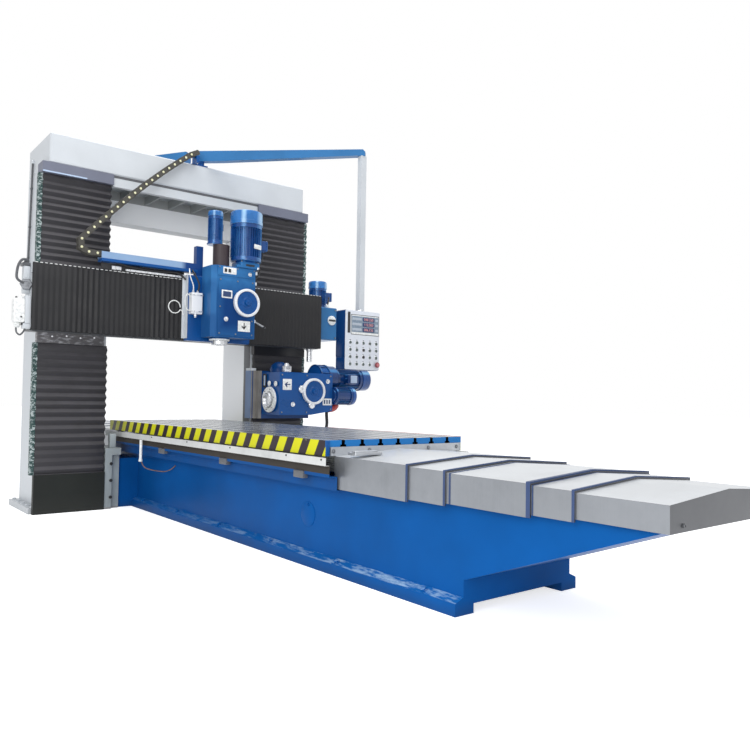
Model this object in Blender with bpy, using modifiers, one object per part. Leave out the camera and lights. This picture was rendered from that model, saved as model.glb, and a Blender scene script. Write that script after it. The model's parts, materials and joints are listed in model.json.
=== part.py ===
"""Gantry milling machine with a travelling table, a vertical head on the crossbeam and a side head.

Frame: metres, +Z up, origin on the floor in the middle of the bed, in the plane of the gantry's front.
The table travels along Y and its near end points to -Y. The right-hand column stands on +X.
"""
import math

import bmesh
import bpy
from mathutils import Matrix, Vector

# Clearances
SEAT = 0.0003
RUNNING = 0.006

# Table
TABLE_WIDTH = 1.250
TABLE_FRONT = -3.570
TABLE_LENGTH = 4.125
TABLE_TOP = 0.890
TABLE_SLAB = 0.104
TABLE_BODY_WIDTH = TABLE_WIDTH - 0.240
SLOT_COUNT = 7
SLOT_PITCH = 0.160
SLOT_WIDTH = 0.028
SLOT_HEAD_WIDTH = 0.050
SLOT_HEAD_HEIGHT = 0.024
SLOT_DEPTH = 0.054

# Bed
BED_WIDTH = TABLE_BODY_WIDTH - 0.070
BED_FRONT = -4.680
BED_TOP = 0.625
BED_FLANGE_OUT = 0.063
BED_FLANGE_HEIGHT = 0.070
BED_FLANGE_SLOPE = 0.028
BED_RUNNER_WIDTH = 0.144
BED_ARCH = 0.053
BED_PAD = 0.600
OVERHANG_ROOT = 0.190
OVERHANG_NOSE = 0.008
WAY_HEIGHT = 0.050
WAY_WIDTH = 0.130
WAY_SPACING = 0.640
PAD_DROP = 0.120

# Table travel from the place shown, towards the near end and towards the far end
TRAVEL_NEAR = 1.030
TRAVEL_FAR = 2.600

# Telescopic covers, counted from the table outwards; each share is how much of the table's
# travel is taken up between one sheet and the next
COVER_REACH = (0.730, 1.030, 1.610, 1.860, 2.320)
COVER_SHARES = (0.185, 0.214, 0.311, 0.290)
COVER_STANDOFF = 0.020
COVER_WIDTH = TABLE_BODY_WIDTH + 0.092
COVER_EAVE = 0.785
COVER_SIDE = 0.213
COVER_RIDGE = 0.036
COVER_STEP = 0.0095
COVER_SHEET = 0.003
COVER_CAP = 0.003
COVER_WIPER = 0.030
COVER_SEAT = BED_TOP + SEAT
COVER_OVERRUN = 0.060
COVER_STAY = 0.060
MOUNTING_WIDTH = TABLE_WIDTH - 0.070
MOUNTING_TOP = 0.845
MOUNTING_THICK = 0.012

# Where the covers end; the bed's overhanging ends stop a little before that
NEAR_END = TABLE_FRONT - COVER_REACH[-1]
FAR_END = TABLE_FRONT + TABLE_LENGTH + COVER_REACH[-1] + TRAVEL_FAR - TRAVEL_NEAR
OVERHANG = BED_FRONT - NEAR_END - COVER_OVERRUN
BED_BACK = FAR_END - COVER_OVERRUN - OVERHANG

# Gutters along the bed
GUTTER_OUT = 0.032
GUTTER_STEP = 0.030
GUTTER_LIP = 0.780
GUTTER_LIP_HEIGHT = 0.052
GUTTER_HEIGHT = 0.125
GUTTER_SHEET = 0.004
GUTTER_LENGTH = 4.220
GUTTER_FRONT = -3.620

# Columns and crown
COLUMN_INNER = TABLE_WIDTH / 2 + 0.217
COLUMN_OUTER = COLUMN_INNER + 0.625
COLUMN_FRONT = 0.110
COLUMN_BACK = 0.798
COLUMN_HEIGHT = 3.427
COLUMN_WAY_FRONT = 0.075
COLUMN_WAY_WIDTH = 0.120
COLUMN_WAY_INSET = 0.030
COLUMN_FOOT_OUT = 0.080
COLUMN_FOOT_FRONT = 0.020
COLUMN_FOOT_HEIGHT = 0.060
CROWN_TOP = 3.727
CROWN_FRONT = 0.0
BAND_HEIGHT = 0.116
BAND_FRONT = 0.012
BAND_DEPTH = 0.060
REAR_BEAM_DEPTH = 0.190
REAR_BEAM_HEIGHT = 0.340
TIE_RIBS = 5
TIE_RIB = 0.016
TIE_RIB_RAISED = 0.020
BLOCK_WIDTH = 0.160
BLOCK_FRONT = 0.030
BLOCK_HEIGHT = 0.620
BLOCK_RECESS = 0.050
BLOCK_STEP = 0.070

# Bellows of the columns
BELLOWS_INNER = COLUMN_INNER + 0.003
BELLOWS_OUTER = COLUMN_OUTER + 0.053
BELLOWS_FRONT = 0.020
TOP_BOX_HEIGHT = 0.105
TOP_BOX_OUT = 0.012
TOP_BOX_FRONT = -0.015
TOP_BOX_RETURN = 0.165
APRON_HEIGHT = 0.378

# Crossbeam
BEAM_BOTTOM = 1.760
BEAM_HEIGHT = 0.645
BEAM_HALF = BELLOWS_OUTER + 0.113
BEAM_FRONT = -0.130
BEAM_BACK = 0.360
BEAM_CORE_HALF = COLUMN_INNER - 0.042
BEAM_CORE_INSET = 0.030
BEAM_WAY_OUT = 0.040
BEAM_WAY_HEIGHT = 0.090
BEAM_WAY_INSET = 0.010
BEAM_GUARD_FRONT = -0.200
BEAM_GUARD_THICK = 0.024
BEAM_SHOE_DROP = 0.098
BEAM_SHOE_MARGIN = 0.010

# Drive at the right-hand end of the crossbeam and oiler at its left-hand end
GEARBOX_WIDTH = 0.303
GEARBOX_FRONT = -0.100
GEARBOX_BACK = 0.215
GEARBOX_BOTTOM = 1.885
GEARBOX_TOP = 2.290
BEAM_MOTOR_RADIUS = 0.110
BEAM_MOTOR_COVER_RADIUS = 0.117
BEAM_MOTOR_COVER = 0.095
BEAM_MOTOR_LENGTH = 0.335
BEAM_MOTOR_Y = 0.080
OILER_RADIUS = 0.047
OILER_BOTTOM = 1.820
OILER_HEIGHT = 0.260
OILER_Y = -0.130
OILER_PLATE_WIDTH = 0.080
OILER_PLATE_DEPTH = 0.080

# Saddle and vertical head
SADDLE_LEFT = -0.125
SADDLE_RIGHT = 0.620
SADDLE_FRONT = -0.270
SADDLE_BOTTOM = 1.750
SADDLE_TOP = 2.450
VALVE_LEFT = -0.115
VALVE_WIDTH = 0.120
VALVE_DEPTH = 0.080
VALVE_BOTTOM = 2.030
VALVE_HEIGHT = 0.225
HEAD_LEFT = 0.030
HEAD_RIGHT = 0.530
HEAD_FRONT = -0.530
HEAD_BOTTOM = 1.790
HEAD_HEIGHT = 0.755
HEAD_EDGE = 0.045
HEAD_PLATE_INSET = 0.020
HEAD_PLATE_THICK = 0.006
HEAD_PLATE_HEIGHT = 0.620
SPINDLE_X = 0.190
SPINDLE_Y = -0.385
VERTICAL_FLANGE_RADIUS = 0.108
SIDE_FLANGE_RADIUS = 0.145
SPINDLE_FLANGE = 0.015
SPINDLE_RADIUS = 0.090
SPINDLE_NOSE = 0.045
SPINDLE_BORE = 0.050
SPINDLE_BORE_END = 0.032
SPINDLE_BORE_DEPTH = 0.040
DIAL_RADIUS = 0.150
DIAL_RIM = 0.022
DIAL_DEPTH = 0.050
DIAL_HOLLOW = 0.015
DIAL_HUB = 0.030
DIAL_HUB_RAISED = 0.012
DIAL_ALONG = 0.380
DIAL_ACROSS = 0.225

# Motors of the vertical head
MOTOR_X = 0.452
MOTOR_Y = -0.446
MOTOR_RADIUS = 0.168
MOTOR_COVER_RADIUS = 0.176
MOTOR_LENGTH = 0.630
MOTOR_COVER = 0.150
MOTOR_FLANGE_RADIUS = 0.115
MOTOR_FLANGE = 0.085
TERMINAL_SIZE = 0.110
TERMINAL_OUT = 0.020
TERMINAL_SHARE = 0.45
SLEEVE_RADIUS = 0.088
SLEEVE_HEIGHT = 0.240
SMALL_MOTOR_RADIUS = 0.079
SMALL_MOTOR_FLANGE_RADIUS = 0.088
SMALL_MOTOR_FLANGE = 0.016
SMALL_MOTOR_LENGTH = 0.365
SMALL_MOTOR_BACK = 0.030
SMALL_MOTOR_LEFT = 0.060
SMALL_BOX_OUT = 0.022
SMALL_BOX_SIZE = 0.080

# Cable tray on the saddle
TRAY_LEFT = -1.024
TRAY_BOTTOM = 2.512
TRAY_HEIGHT = 0.066
TRAY_DEPTH = 0.120
TRAY_SHEET = 0.003
TRAY_FRONT = -0.250
POST_LEFT = -0.030
POST_WIDTH = 0.075
POST_DEPTH = 0.070
POST_TOP = 2.770

# Pendant boom
PIVOT_X = 0.140
PIVOT_Y = 0.060
PIVOT_RADIUS = 0.035
PIVOT_HEIGHT = 0.060
PIVOT_PLATE = 0.012
PIVOT_PLATE_HALF = 0.055
BOOM_END_X = COLUMN_OUTER
BOOM_END_Y = -1.180
BOOM_WIDTH = 0.080
BOOM_ROOT_HEIGHT = 0.115
BOOM_ROOT_LENGTH = 0.250
BOOM_ROOT_BACK = 0.050
BOOM_TIP_HEIGHT = 0.070
BOOM_TIP_BEND = 0.025
POLE_WIDTH = 0.068
PENDANT_WIDTH = 0.467
PENDANT_HEIGHT = 0.640
PENDANT_DEPTH = 0.180
PENDANT_BOTTOM = 1.475
PENDANT_LEFT = 0.020
DUCT_END_X = -0.290
DUCT_END_Y = 0.740
DUCT_START_X = 0.040
DUCT_START_Y = 0.180
DUCT_WIDTH = 0.100

# Side head on the right-hand column
SIDE_BOTTOM = 0.920
SIDE_HEIGHT = 0.550
SIDE_LEFT = COLUMN_INNER - 0.077
SIDE_FRONT = -0.120
SIDE_PLATE_FRONT = -0.050
SIDE_STRIP_LEFT = SIDE_LEFT + 0.070
SIDE_RAM_BOTTOM = 0.970
SIDE_RAM_HEIGHT = 0.480
SIDE_RAM_LEFT = SIDE_LEFT + 0.116
SIDE_RAM_LENGTH = 0.720
SIDE_RAM_FRONT = -0.500
SIDE_RAM_CUT_X = 0.300
SIDE_RAM_CUT_Z = 0.045
SIDE_SPINDLE_Z = 1.140
SIDE_SPINDLE_Y = -0.310
SIDE_DIAL_ALONG = 0.440
SIDE_DIAL_UP = 0.100
SIDE_MOTOR_UP = 0.255
SIDE_MOTOR_RADIUS = 0.125
SIDE_MOTOR_COVER_RADIUS = 0.134
SIDE_MOTOR_COVER = 0.130
SIDE_MOTOR_LENGTH = 0.635
SIDE_HOOD_RADIUS = 0.155
SIDE_HOOD = 0.120
SIDE_HOOD_START = 0.590
SIDE_FEED_UP = 0.055
SIDE_FEED_FORWARD = 0.180
SIDE_FEED_RADIUS = 0.110
SIDE_FEED_LENGTH = 0.300

# Drag chain
CHAIN_WIDTH = 0.080
CHAIN_HEIGHT = 0.062
CHAIN_RUN = 0.101
CHAIN_INSIDE = 0.060
CHAIN_CURL = 0.095
CHAIN_START_RISE = 48.0
CHAIN_END_RISE = 39.0
CHAIN_TOP_X = 0.000
CHAIN_TOP_Y = -0.055
CHAIN_TOP_Z = 3.830
CHAIN_TOP_RUN = 0.050
CHAIN_STEPS = 8
HOLDER_WIDTH = 0.036

COLOURS = {
    "blue": ((0.01, 0.10, 0.36, 1), 0.35, 0.0),
    "grey": ((0.62, 0.65, 0.68, 1), 0.5, 0.0),
    "slate": ((0.25, 0.28, 0.36, 1), 0.5, 0.0),
    "black": ((0.02, 0.02, 0.02, 1), 0.8, 0.0),
    "steel": ((0.55, 0.56, 0.58, 1), 0.3, 0.9),
    "white": ((0.85, 0.85, 0.86, 1), 0.4, 0.0),
}


def clear_scene():
    for item in list(bpy.data.objects):
        bpy.data.objects.remove(item, do_unlink=True)


def make_collection(name):
    group = bpy.data.collections.new(name)
    bpy.context.scene.collection.children.link(group)
    return group


def paint(item, colour):
    name = f"{item.name}_{colour}"
    material = bpy.data.materials.new(name)
    material.use_nodes = True
    shader = material.node_tree.nodes["Principled BSDF"]
    base, roughness, metallic = COLOURS[colour]
    shader.inputs["Base Color"].default_value = base
    shader.inputs["Roughness"].default_value = roughness
    shader.inputs["Metallic"].default_value = metallic
    item.data.materials.clear()
    item.data.materials.append(material)


def new_piece(name, mesh):
    item = bpy.data.objects.new(name, mesh)
    MACHINE.objects.link(item)
    return item


def box(x, y, z, name="block"):
    """A box between two values on each axis."""
    shape = bmesh.new()
    bmesh.ops.create_cube(shape, size=1.0)
    size = Vector((x[1] - x[0], y[1] - y[0], z[1] - z[0]))
    middle = Vector((x[0] + x[1], y[0] + y[1], z[0] + z[1])) / 2
    shape.transform(Matrix.Translation(middle) @ Matrix.Diagonal((*size, 1)))
    mesh = bpy.data.meshes.new(name)
    shape.to_mesh(mesh)
    shape.free()
    return new_piece(name, mesh)


def rod(start, end, radius, end_radius=None, sides=24, name="rod"):
    """A cylinder or cone from one point to another."""
    shape = bmesh.new()
    start, end = Vector(start), Vector(end)
    along = end - start
    last = radius if end_radius is None else end_radius
    bmesh.ops.create_cone(
        shape, cap_ends=True, segments=sides, radius1=radius, radius2=last, depth=along.length
    )
    turn = along.to_track_quat("Z", "Y").to_matrix().to_4x4()
    shape.transform(Matrix.Translation((start + end) / 2) @ turn)
    mesh = bpy.data.meshes.new(name)
    shape.to_mesh(mesh)
    shape.free()
    return new_piece(name, mesh)


def plate(outline, low, high, axis, name="plate"):
    """An outline in the two other axes, extruded along axis from low to high."""
    curve = bpy.data.curves.new(name, "CURVE")
    curve.dimensions = "2D"
    curve.fill_mode = "BOTH"
    curve.extrude = (high - low) / 2
    spline = curve.splines.new("POLY")
    spline.points.add(len(outline) - 1)
    for point, (across, up) in zip(spline.points, outline):
        point.co = (across, up, 0, 1)
    spline.use_cyclic_u = True
    guide = bpy.data.objects.new(name, curve)
    MACHINE.objects.link(guide)
    turns = {
        "X": Matrix(((0, 0, 1, 0), (1, 0, 0, 0), (0, 1, 0, 0), (0, 0, 0, 1))),
        "Y": Matrix(((1, 0, 0, 0), (0, 0, -1, 0), (0, 1, 0, 0), (0, 0, 0, 1))),
        "Z": Matrix.Identity(4),
    }
    middle = (low + high) / 2
    shift = Matrix.Translation([middle if letter == axis else 0 for letter in "XYZ"])
    bpy.context.view_layer.update()
    mesh = bpy.data.meshes.new_from_object(guide.evaluated_get(bpy.context.evaluated_depsgraph_get()))
    shape = bmesh.new()
    shape.from_mesh(mesh)
    bmesh.ops.remove_doubles(shape, verts=shape.verts, dist=0.00001)
    shape.transform(shift @ turns[axis])
    bmesh.ops.recalc_face_normals(shape, faces=shape.faces)
    shape.to_mesh(mesh)
    shape.free()
    bpy.data.objects.remove(guide, do_unlink=True)
    return new_piece(name, mesh)


def settle(item):
    """The piece's mesh with its modifiers worked in."""
    bpy.context.view_layer.update()
    mesh = bpy.data.meshes.new_from_object(item.evaluated_get(bpy.context.evaluated_depsgraph_get()))
    item.modifiers.clear()
    item.data = mesh
    return item


def combine(first, others, how):
    for other in others:
        change = first.modifiers.new("combine", "BOOLEAN")
        change.operation = how
        change.solver = "EXACT"
        change.object = other
        settle(first)
        bpy.data.objects.remove(other, do_unlink=True)
    return first


def fused(first, *others):
    return combine(first, others, "UNION")


def cut(first, *others):
    return combine(first, others, "DIFFERENCE")


def common(first, *others):
    return combine(first, others, "INTERSECT")


def moved(item, turn):
    item.data.transform(turn)
    return item


def node(name, item, colour, body=None, bevel=0.0):
    """Name and paint a finished piece and hang it on the empty of its body."""
    item.name = name
    item.data.name = name
    if bevel:
        edge = item.modifiers.new("edges", "BEVEL")
        edge.width = bevel
        edge.segments = 1
        edge.limit_method = "ANGLE"
        edge.angle_limit = math.radians(50)
    paint(item, colour)
    item.data.shade_smooth()
    item.data.set_sharp_from_angle(angle=math.radians(35))
    if body is not None:
        item.parent = body
        item.matrix_parent_inverse = body.matrix_world.inverted()
    return item


def body_at(name, point):
    empty = bpy.data.objects.new(name, None)
    MACHINE.objects.link(empty)
    empty.location = point
    bpy.context.view_layer.update()
    return empty


def mirrored(points):
    """An outline's right half, followed by its left half."""
    return points + [(-x, z) for x, z in reversed(points)]


def bed():
    half = BED_WIDTH / 2
    foot = half + BED_FLANGE_OUT
    inner = foot - BED_RUNNER_WIDTH
    slope_top = BED_FLANGE_HEIGHT + BED_FLANGE_SLOPE
    section = [(inner, BED_ARCH), (inner, 0), (foot, 0), (foot, BED_FLANGE_HEIGHT)]
    section += [(half, slope_top), (half, BED_TOP)]
    near_tip = BED_FRONT - OVERHANG
    far_tip = BED_BACK + OVERHANG
    body = plate(mirrored(section), near_tip, far_tip, "Y")
    tip = BED_TOP - OVERHANG_NOSE
    side_view = [(BED_FRONT, -1), (BED_BACK, -1), (BED_BACK, OVERHANG_ROOT), (far_tip, tip)]
    side_view += [(far_tip, 1), (near_tip, 1), (near_tip, tip), (BED_FRONT, OVERHANG_ROOT)]
    mask = plate(side_view, -1, 1, "X")
    common(body, mask)
    parts = []
    for side in (-1, 1):
        middle = side * WAY_SPACING / 2
        across = (middle - WAY_WIDTH / 2, middle + WAY_WIDTH / 2)
        parts.append(box(across, (BED_FRONT, BED_BACK), (BED_TOP - WAY_HEIGHT, BED_TOP + WAY_HEIGHT)))
        reach = side * (COLUMN_INNER - BLOCK_WIDTH - SEAT)
        across = tuple(sorted((side * (half - WAY_HEIGHT), reach)))
        depth = (COLUMN_FRONT, COLUMN_BACK - PAD_DROP)
        parts.append(box(across, depth, (0, BED_TOP - PAD_DROP)))
    pad = box((-inner - BED_ARCH, inner + BED_ARCH), (-BED_PAD / 2, BED_PAD / 2), (0, 2 * BED_ARCH))
    node("bed", fused(body, pad, *parts), "blue")


def gutters():
    """A folded channel on each side that catches what drips from the table's edge."""
    inner = COVER_WIDTH / 2 + RUNNING
    outer = TABLE_WIDTH / 2 + GUTTER_OUT
    waist = outer - GUTTER_STEP
    t = GUTTER_SHEET
    floor = GUTTER_LIP - GUTTER_HEIGHT
    step = GUTTER_LIP - GUTTER_LIP_HEIGHT
    foot = COVER_EAVE - COVER_SIDE - RUNNING
    wall = BED_WIDTH / 2 + SEAT
    lines = [(wall, foot), (inner + t, foot), (inner + t, floor), (waist - t, floor), (waist - t, step)]
    lines += [(outer - t, step), (outer - t, GUTTER_LIP), (outer, GUTTER_LIP), (outer, step - t)]
    lines += [(waist, step - t), (waist, floor - t), (inner + 2 * t, floor - t), (inner + 2 * t, foot - t)]
    lines += [(wall, foot - t)]
    for side, name in ((-1, "left"), (1, "right")):
        outline = [(side * x, z) for x, z in lines]
        channel = plate(outline, GUTTER_FRONT, GUTTER_FRONT + GUTTER_LENGTH, "Y")
        node(f"gutter_{name}", channel, "grey")


def table(body):
    half = TABLE_WIDTH / 2
    back = TABLE_FRONT + TABLE_LENGTH
    under = BED_TOP + WAY_HEIGHT + SEAT
    edge = TABLE_TOP - TABLE_SLAB
    inner = TABLE_BODY_WIDTH / 2
    section = [(-half, edge), (-inner, edge), (-inner, under), (inner, under), (inner, edge), (half, edge)]
    neck_end = TABLE_TOP - SLOT_DEPTH + SLOT_HEAD_HEIGHT
    slot = [(SLOT_WIDTH, TABLE_TOP), (SLOT_WIDTH, neck_end)]
    slot += [(SLOT_HEAD_WIDTH, neck_end), (SLOT_HEAD_WIDTH, TABLE_TOP - SLOT_DEPTH)]
    top = [(half, TABLE_TOP)]
    for index in range(SLOT_COUNT):
        middle = ((SLOT_COUNT - 1) / 2 - index) * SLOT_PITCH
        top += [(middle + across / 2, z) for across, z in slot]
        top += [(middle - across / 2, z) for across, z in reversed(slot)]
    top += [(-half, TABLE_TOP)]
    node("table", plate(section + top, TABLE_FRONT, back, "Y"), "steel", body)


def cover_section(index, sheet, skin=0.0):
    """The bent sheet's outline: two sides and a roof with a ridge along the middle.

    skin moves the whole outline inwards.
    """
    shrink = index * COVER_STEP
    half = COVER_WIDTH / 2 - shrink - skin
    eave = COVER_EAVE - shrink - skin
    ridge = eave + COVER_RIDGE
    drop = COVER_EAVE - COVER_SIDE
    low = drop + (COVER_SEAT - drop) * index / len(COVER_SHARES) + skin
    outer = [(-half, low), (-half, eave), (0, ridge), (half, eave), (half, low)]
    inner = [(half - sheet, low), (half - sheet, eave - sheet), (0, ridge - sheet)]
    inner += [(sheet - half, eave - sheet), (sheet - half, low)]
    return outer, inner


def cover_shell(index, table_end, outward, opened):
    """One sheet of the telescopic cover; outward is -1 at the near end and 1 at the far end.

    opened is how much further this end's covers are drawn out than those at the near end.
    """
    taken = sum(COVER_SHARES[:index])
    slack = taken * TRAVEL_NEAR + COVER_STANDOFF if index else SEAT + MOUNTING_THICK / 2
    start = table_end + outward * (slack + taken * opened)
    end = table_end + outward * (COVER_REACH[index] + taken * opened)
    outer, inner = cover_section(index, COVER_SHEET)
    shell = plate(outer + inner, min(start, end), max(start, end), "Y")
    if index == len(COVER_SHARES):
        inside = end - outward * COVER_CAP
        cap = plate(outer, min(end, inside), max(end, inside), "Y")
        return fused(shell, cap, cover_stay(outer, end, outward))
    skin = COVER_SHEET / 2
    ring, hole = cover_section(index, COVER_STEP - SEAT - skin, skin)
    near = end - outward * COVER_WIPER
    far = end - outward * skin
    wiper = plate(ring + hole, min(near, far), max(near, far), "Y")
    if index == 0:
        return fused(shell, wiper, *mounting_plate(outer, table_end, outward))
    return fused(shell, wiper)


def cover_stay(outer, end, outward):
    """A bulkhead in the last sheet that stands on the bed's overhanging end."""
    far = end - outward * (COVER_OVERRUN + COVER_STAY)
    near = far - outward * COVER_CAP
    half = outer[3][0] - COVER_SHEET / 2
    outline = [(-half, BED_TOP + SEAT), (half, BED_TOP + SEAT), (half, outer[3][1] - COVER_SHEET / 2)]
    outline += [(0, outer[2][1] - COVER_SHEET / 2), (-half, outer[3][1] - COVER_SHEET / 2)]
    return plate(outline, min(far, near), max(far, near), "Y")


def mounting_plate(outer, table_end, outward):
    """The plate that bolts the first sheet to the table's end: a foot inside it and a wide top."""
    half = outer[3][0] - COVER_SHEET / 2
    wide = MOUNTING_WIDTH / 2
    shelf = COVER_EAVE + RUNNING
    start = table_end + outward * SEAT
    depth = tuple(sorted((start, start + outward * MOUNTING_THICK)))
    foot = box((-half, half), depth, (BED_TOP + WAY_HEIGHT + RUNNING, shelf))
    top = box((-wide, wide), depth, (shelf - COVER_SHEET, MOUNTING_TOP))
    return foot, top


def covers(bodies):
    ends = ((-1, TABLE_FRONT, "front"), (1, TABLE_FRONT + TABLE_LENGTH, "rear"))
    for outward, end, where in ends:
        opened = 0 if outward < 0 else TRAVEL_FAR - TRAVEL_NEAR
        for index in range(len(COVER_REACH)):
            shell = cover_shell(index, end, outward, opened)
            node(f"{where}_cover_{index + 1}", shell, "steel", bodies.get((where, index)))


def column(side):
    name = "right" if side > 0 else "left"

    def span(a, b):
        return tuple(sorted((side * a, side * b)))

    post = box(span(COLUMN_INNER, COLUMN_OUTER), (COLUMN_FRONT, COLUMN_BACK), (0, COLUMN_HEIGHT))
    foot_x = span(COLUMN_INNER, COLUMN_OUTER + COLUMN_FOOT_OUT)
    foot_y = (COLUMN_FRONT - COLUMN_FOOT_FRONT, COLUMN_BACK + COLUMN_FOOT_OUT)
    foot = box(foot_x, foot_y, (0, COLUMN_FOOT_HEIGHT))
    way_low = COLUMN_FOOT_HEIGHT / 2
    first = COLUMN_INNER + COLUMN_WAY_INSET
    second = COLUMN_OUTER - COLUMN_WAY_INSET - COLUMN_WAY_WIDTH
    ways = []
    for start in (first, second):
        across = span(start, start + COLUMN_WAY_WIDTH)
        depth = (COLUMN_WAY_FRONT, COLUMN_FRONT + COLUMN_FOOT_FRONT)
        ways.append(box(across, depth, (way_low, COLUMN_HEIGHT)))
    node(f"column_{name}", fused(post, foot, *ways), "grey")
    block_x = span(COLUMN_INNER - BLOCK_WIDTH, COLUMN_INNER - SEAT)
    back = COLUMN_BACK - BLOCK_STEP
    block = box(block_x, (BLOCK_FRONT + BLOCK_RECESS, back), (0, BLOCK_HEIGHT))
    head = box(block_x, (BLOCK_FRONT, back), (BLOCK_HEIGHT - BLOCK_STEP, BLOCK_HEIGHT))
    rail_x = span(COLUMN_INNER - BLOCK_STEP, COLUMN_INNER - SEAT)
    rail = box(rail_x, (BLOCK_FRONT, back), (0, BLOCK_HEIGHT))
    node(f"tie_block_{name}", fused(block, head, rail), "slate")
    top = COLUMN_HEIGHT - SEAT
    back = COLUMN_WAY_FRONT - SEAT
    outside = BELLOWS_OUTER + TOP_BOX_OUT
    beside = COLUMN_OUTER + SEAT
    outline = [(BELLOWS_INNER, TOP_BOX_FRONT), (outside, TOP_BOX_FRONT), (outside, TOP_BOX_RETURN)]
    outline += [(beside, TOP_BOX_RETURN), (beside, back), (BELLOWS_INNER, back)]
    cap = plate([(side * x, y) for x, y in outline], top - TOP_BOX_HEIGHT, top, "Z")
    node(f"bellows_box_{name}", cap, "slate")


def crown():
    block = box((-COLUMN_OUTER, COLUMN_OUTER), (CROWN_FRONT, COLUMN_BACK), (COLUMN_HEIGHT + SEAT, CROWN_TOP))
    node("crown_beam", block, "grey", bevel=0.012)
    inner = COLUMN_INNER - SEAT
    across = (-inner, inner)
    band_z = (COLUMN_HEIGHT - BAND_HEIGHT, COLUMN_HEIGHT)
    band = box(across, (BAND_FRONT, BAND_FRONT + BAND_DEPTH), band_z)
    rear_front = COLUMN_BACK - REAR_BEAM_DEPTH
    rear = box(across, (rear_front, COLUMN_BACK), (COLUMN_HEIGHT - REAR_BEAM_HEIGHT, COLUMN_HEIGHT))
    pieces = [rear]
    for index in range(TIE_RIBS + 2):
        at = -inner + TIE_RIB / 2 + index * (2 * inner - TIE_RIB) / (TIE_RIBS + 1)
        rib_x = (at - TIE_RIB / 2, at + TIE_RIB / 2)
        rib_y = (BAND_FRONT + BAND_DEPTH / 2, COLUMN_BACK - REAR_BEAM_DEPTH / 2)
        rib_z = (COLUMN_HEIGHT - BAND_HEIGHT + TIE_RIB_RAISED, COLUMN_HEIGHT)
        pieces.append(box(rib_x, rib_y, rib_z))
    node("tie_frame", fused(band, *pieces), "grey")


def column_bellows():
    """Folding guards on the fronts of the columns."""
    beam_top = BEAM_BOTTOM + BEAM_HEIGHT
    shoe = BEAM_BOTTOM - BEAM_SHOE_DROP
    depth = (BELLOWS_FRONT, COLUMN_WAY_FRONT - SEAT)
    roof = COLUMN_HEIGHT - TOP_BOX_HEIGHT - 2 * SEAT
    left = (-BELLOWS_OUTER, -BELLOWS_INNER)
    right = (BELLOWS_INNER, BELLOWS_OUTER)
    side_top = SIDE_BOTTOM + SIDE_HEIGHT
    node("bellows_upper_left", box(left, depth, (beam_top + SEAT, roof)), "black")
    node("bellows_upper_right", box(right, depth, (beam_top + SEAT, roof)), "black")
    node("bellows_lower_left", box(left, depth, (APRON_HEIGHT + SEAT, shoe - SEAT)), "black")
    node("apron_left", box(left, depth, (0, APRON_HEIGHT)), "black")
    node("bellows_middle_right", box(right, depth, (side_top + SEAT, shoe - SEAT)), "black")
    node("bellows_lower_right", box(right, depth, (COLUMN_FOOT_HEIGHT, SIDE_BOTTOM - SEAT)), "black")


def crossbeam(body):
    top = BEAM_BOTTOM + BEAM_HEIGHT
    whole = (-BEAM_HALF, BEAM_HALF)
    inset = BEAM_WAY_INSET
    front = box(whole, (BEAM_FRONT, COLUMN_WAY_FRONT - SEAT), (BEAM_BOTTOM, top))
    core_x = (-BEAM_CORE_HALF, BEAM_CORE_HALF)
    core_z = (BEAM_BOTTOM + BEAM_CORE_INSET, top - BEAM_CORE_INSET)
    core = box(core_x, (BEAM_FRONT + BEAM_CORE_INSET, BEAM_BACK), core_z)
    way_y = (BEAM_FRONT - BEAM_WAY_OUT, BEAM_FRONT + inset)
    low_way = box(whole, way_y, (BEAM_BOTTOM + inset, BEAM_BOTTOM + inset + BEAM_WAY_HEIGHT))
    high_way = box(whole, way_y, (top - inset - BEAM_WAY_HEIGHT, top - inset))
    shoes = []
    margin = BEAM_SHOE_MARGIN
    for side in (-1, 1):
        across = tuple(sorted((side * (BELLOWS_INNER - margin), side * (BELLOWS_OUTER + margin))))
        depth = (BELLOWS_FRONT - margin, COLUMN_WAY_FRONT - SEAT)
        shoes.append(box(across, depth, (BEAM_BOTTOM - BEAM_SHOE_DROP, BEAM_BOTTOM + margin)))
    node("crossbeam", fused(front, core, low_way, high_way, *shoes), "grey", body)
    guard_y = (BEAM_GUARD_FRONT, BEAM_GUARD_FRONT + BEAM_GUARD_THICK)
    guard_z = (BEAM_BOTTOM, top)
    node("beam_bellows_left", box((-BEAM_HALF, SADDLE_LEFT - SEAT), guard_y, guard_z), "black", body)
    node("beam_bellows_right", box((SADDLE_RIGHT + SEAT, BEAM_HALF), guard_y, guard_z), "black", body)


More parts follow.
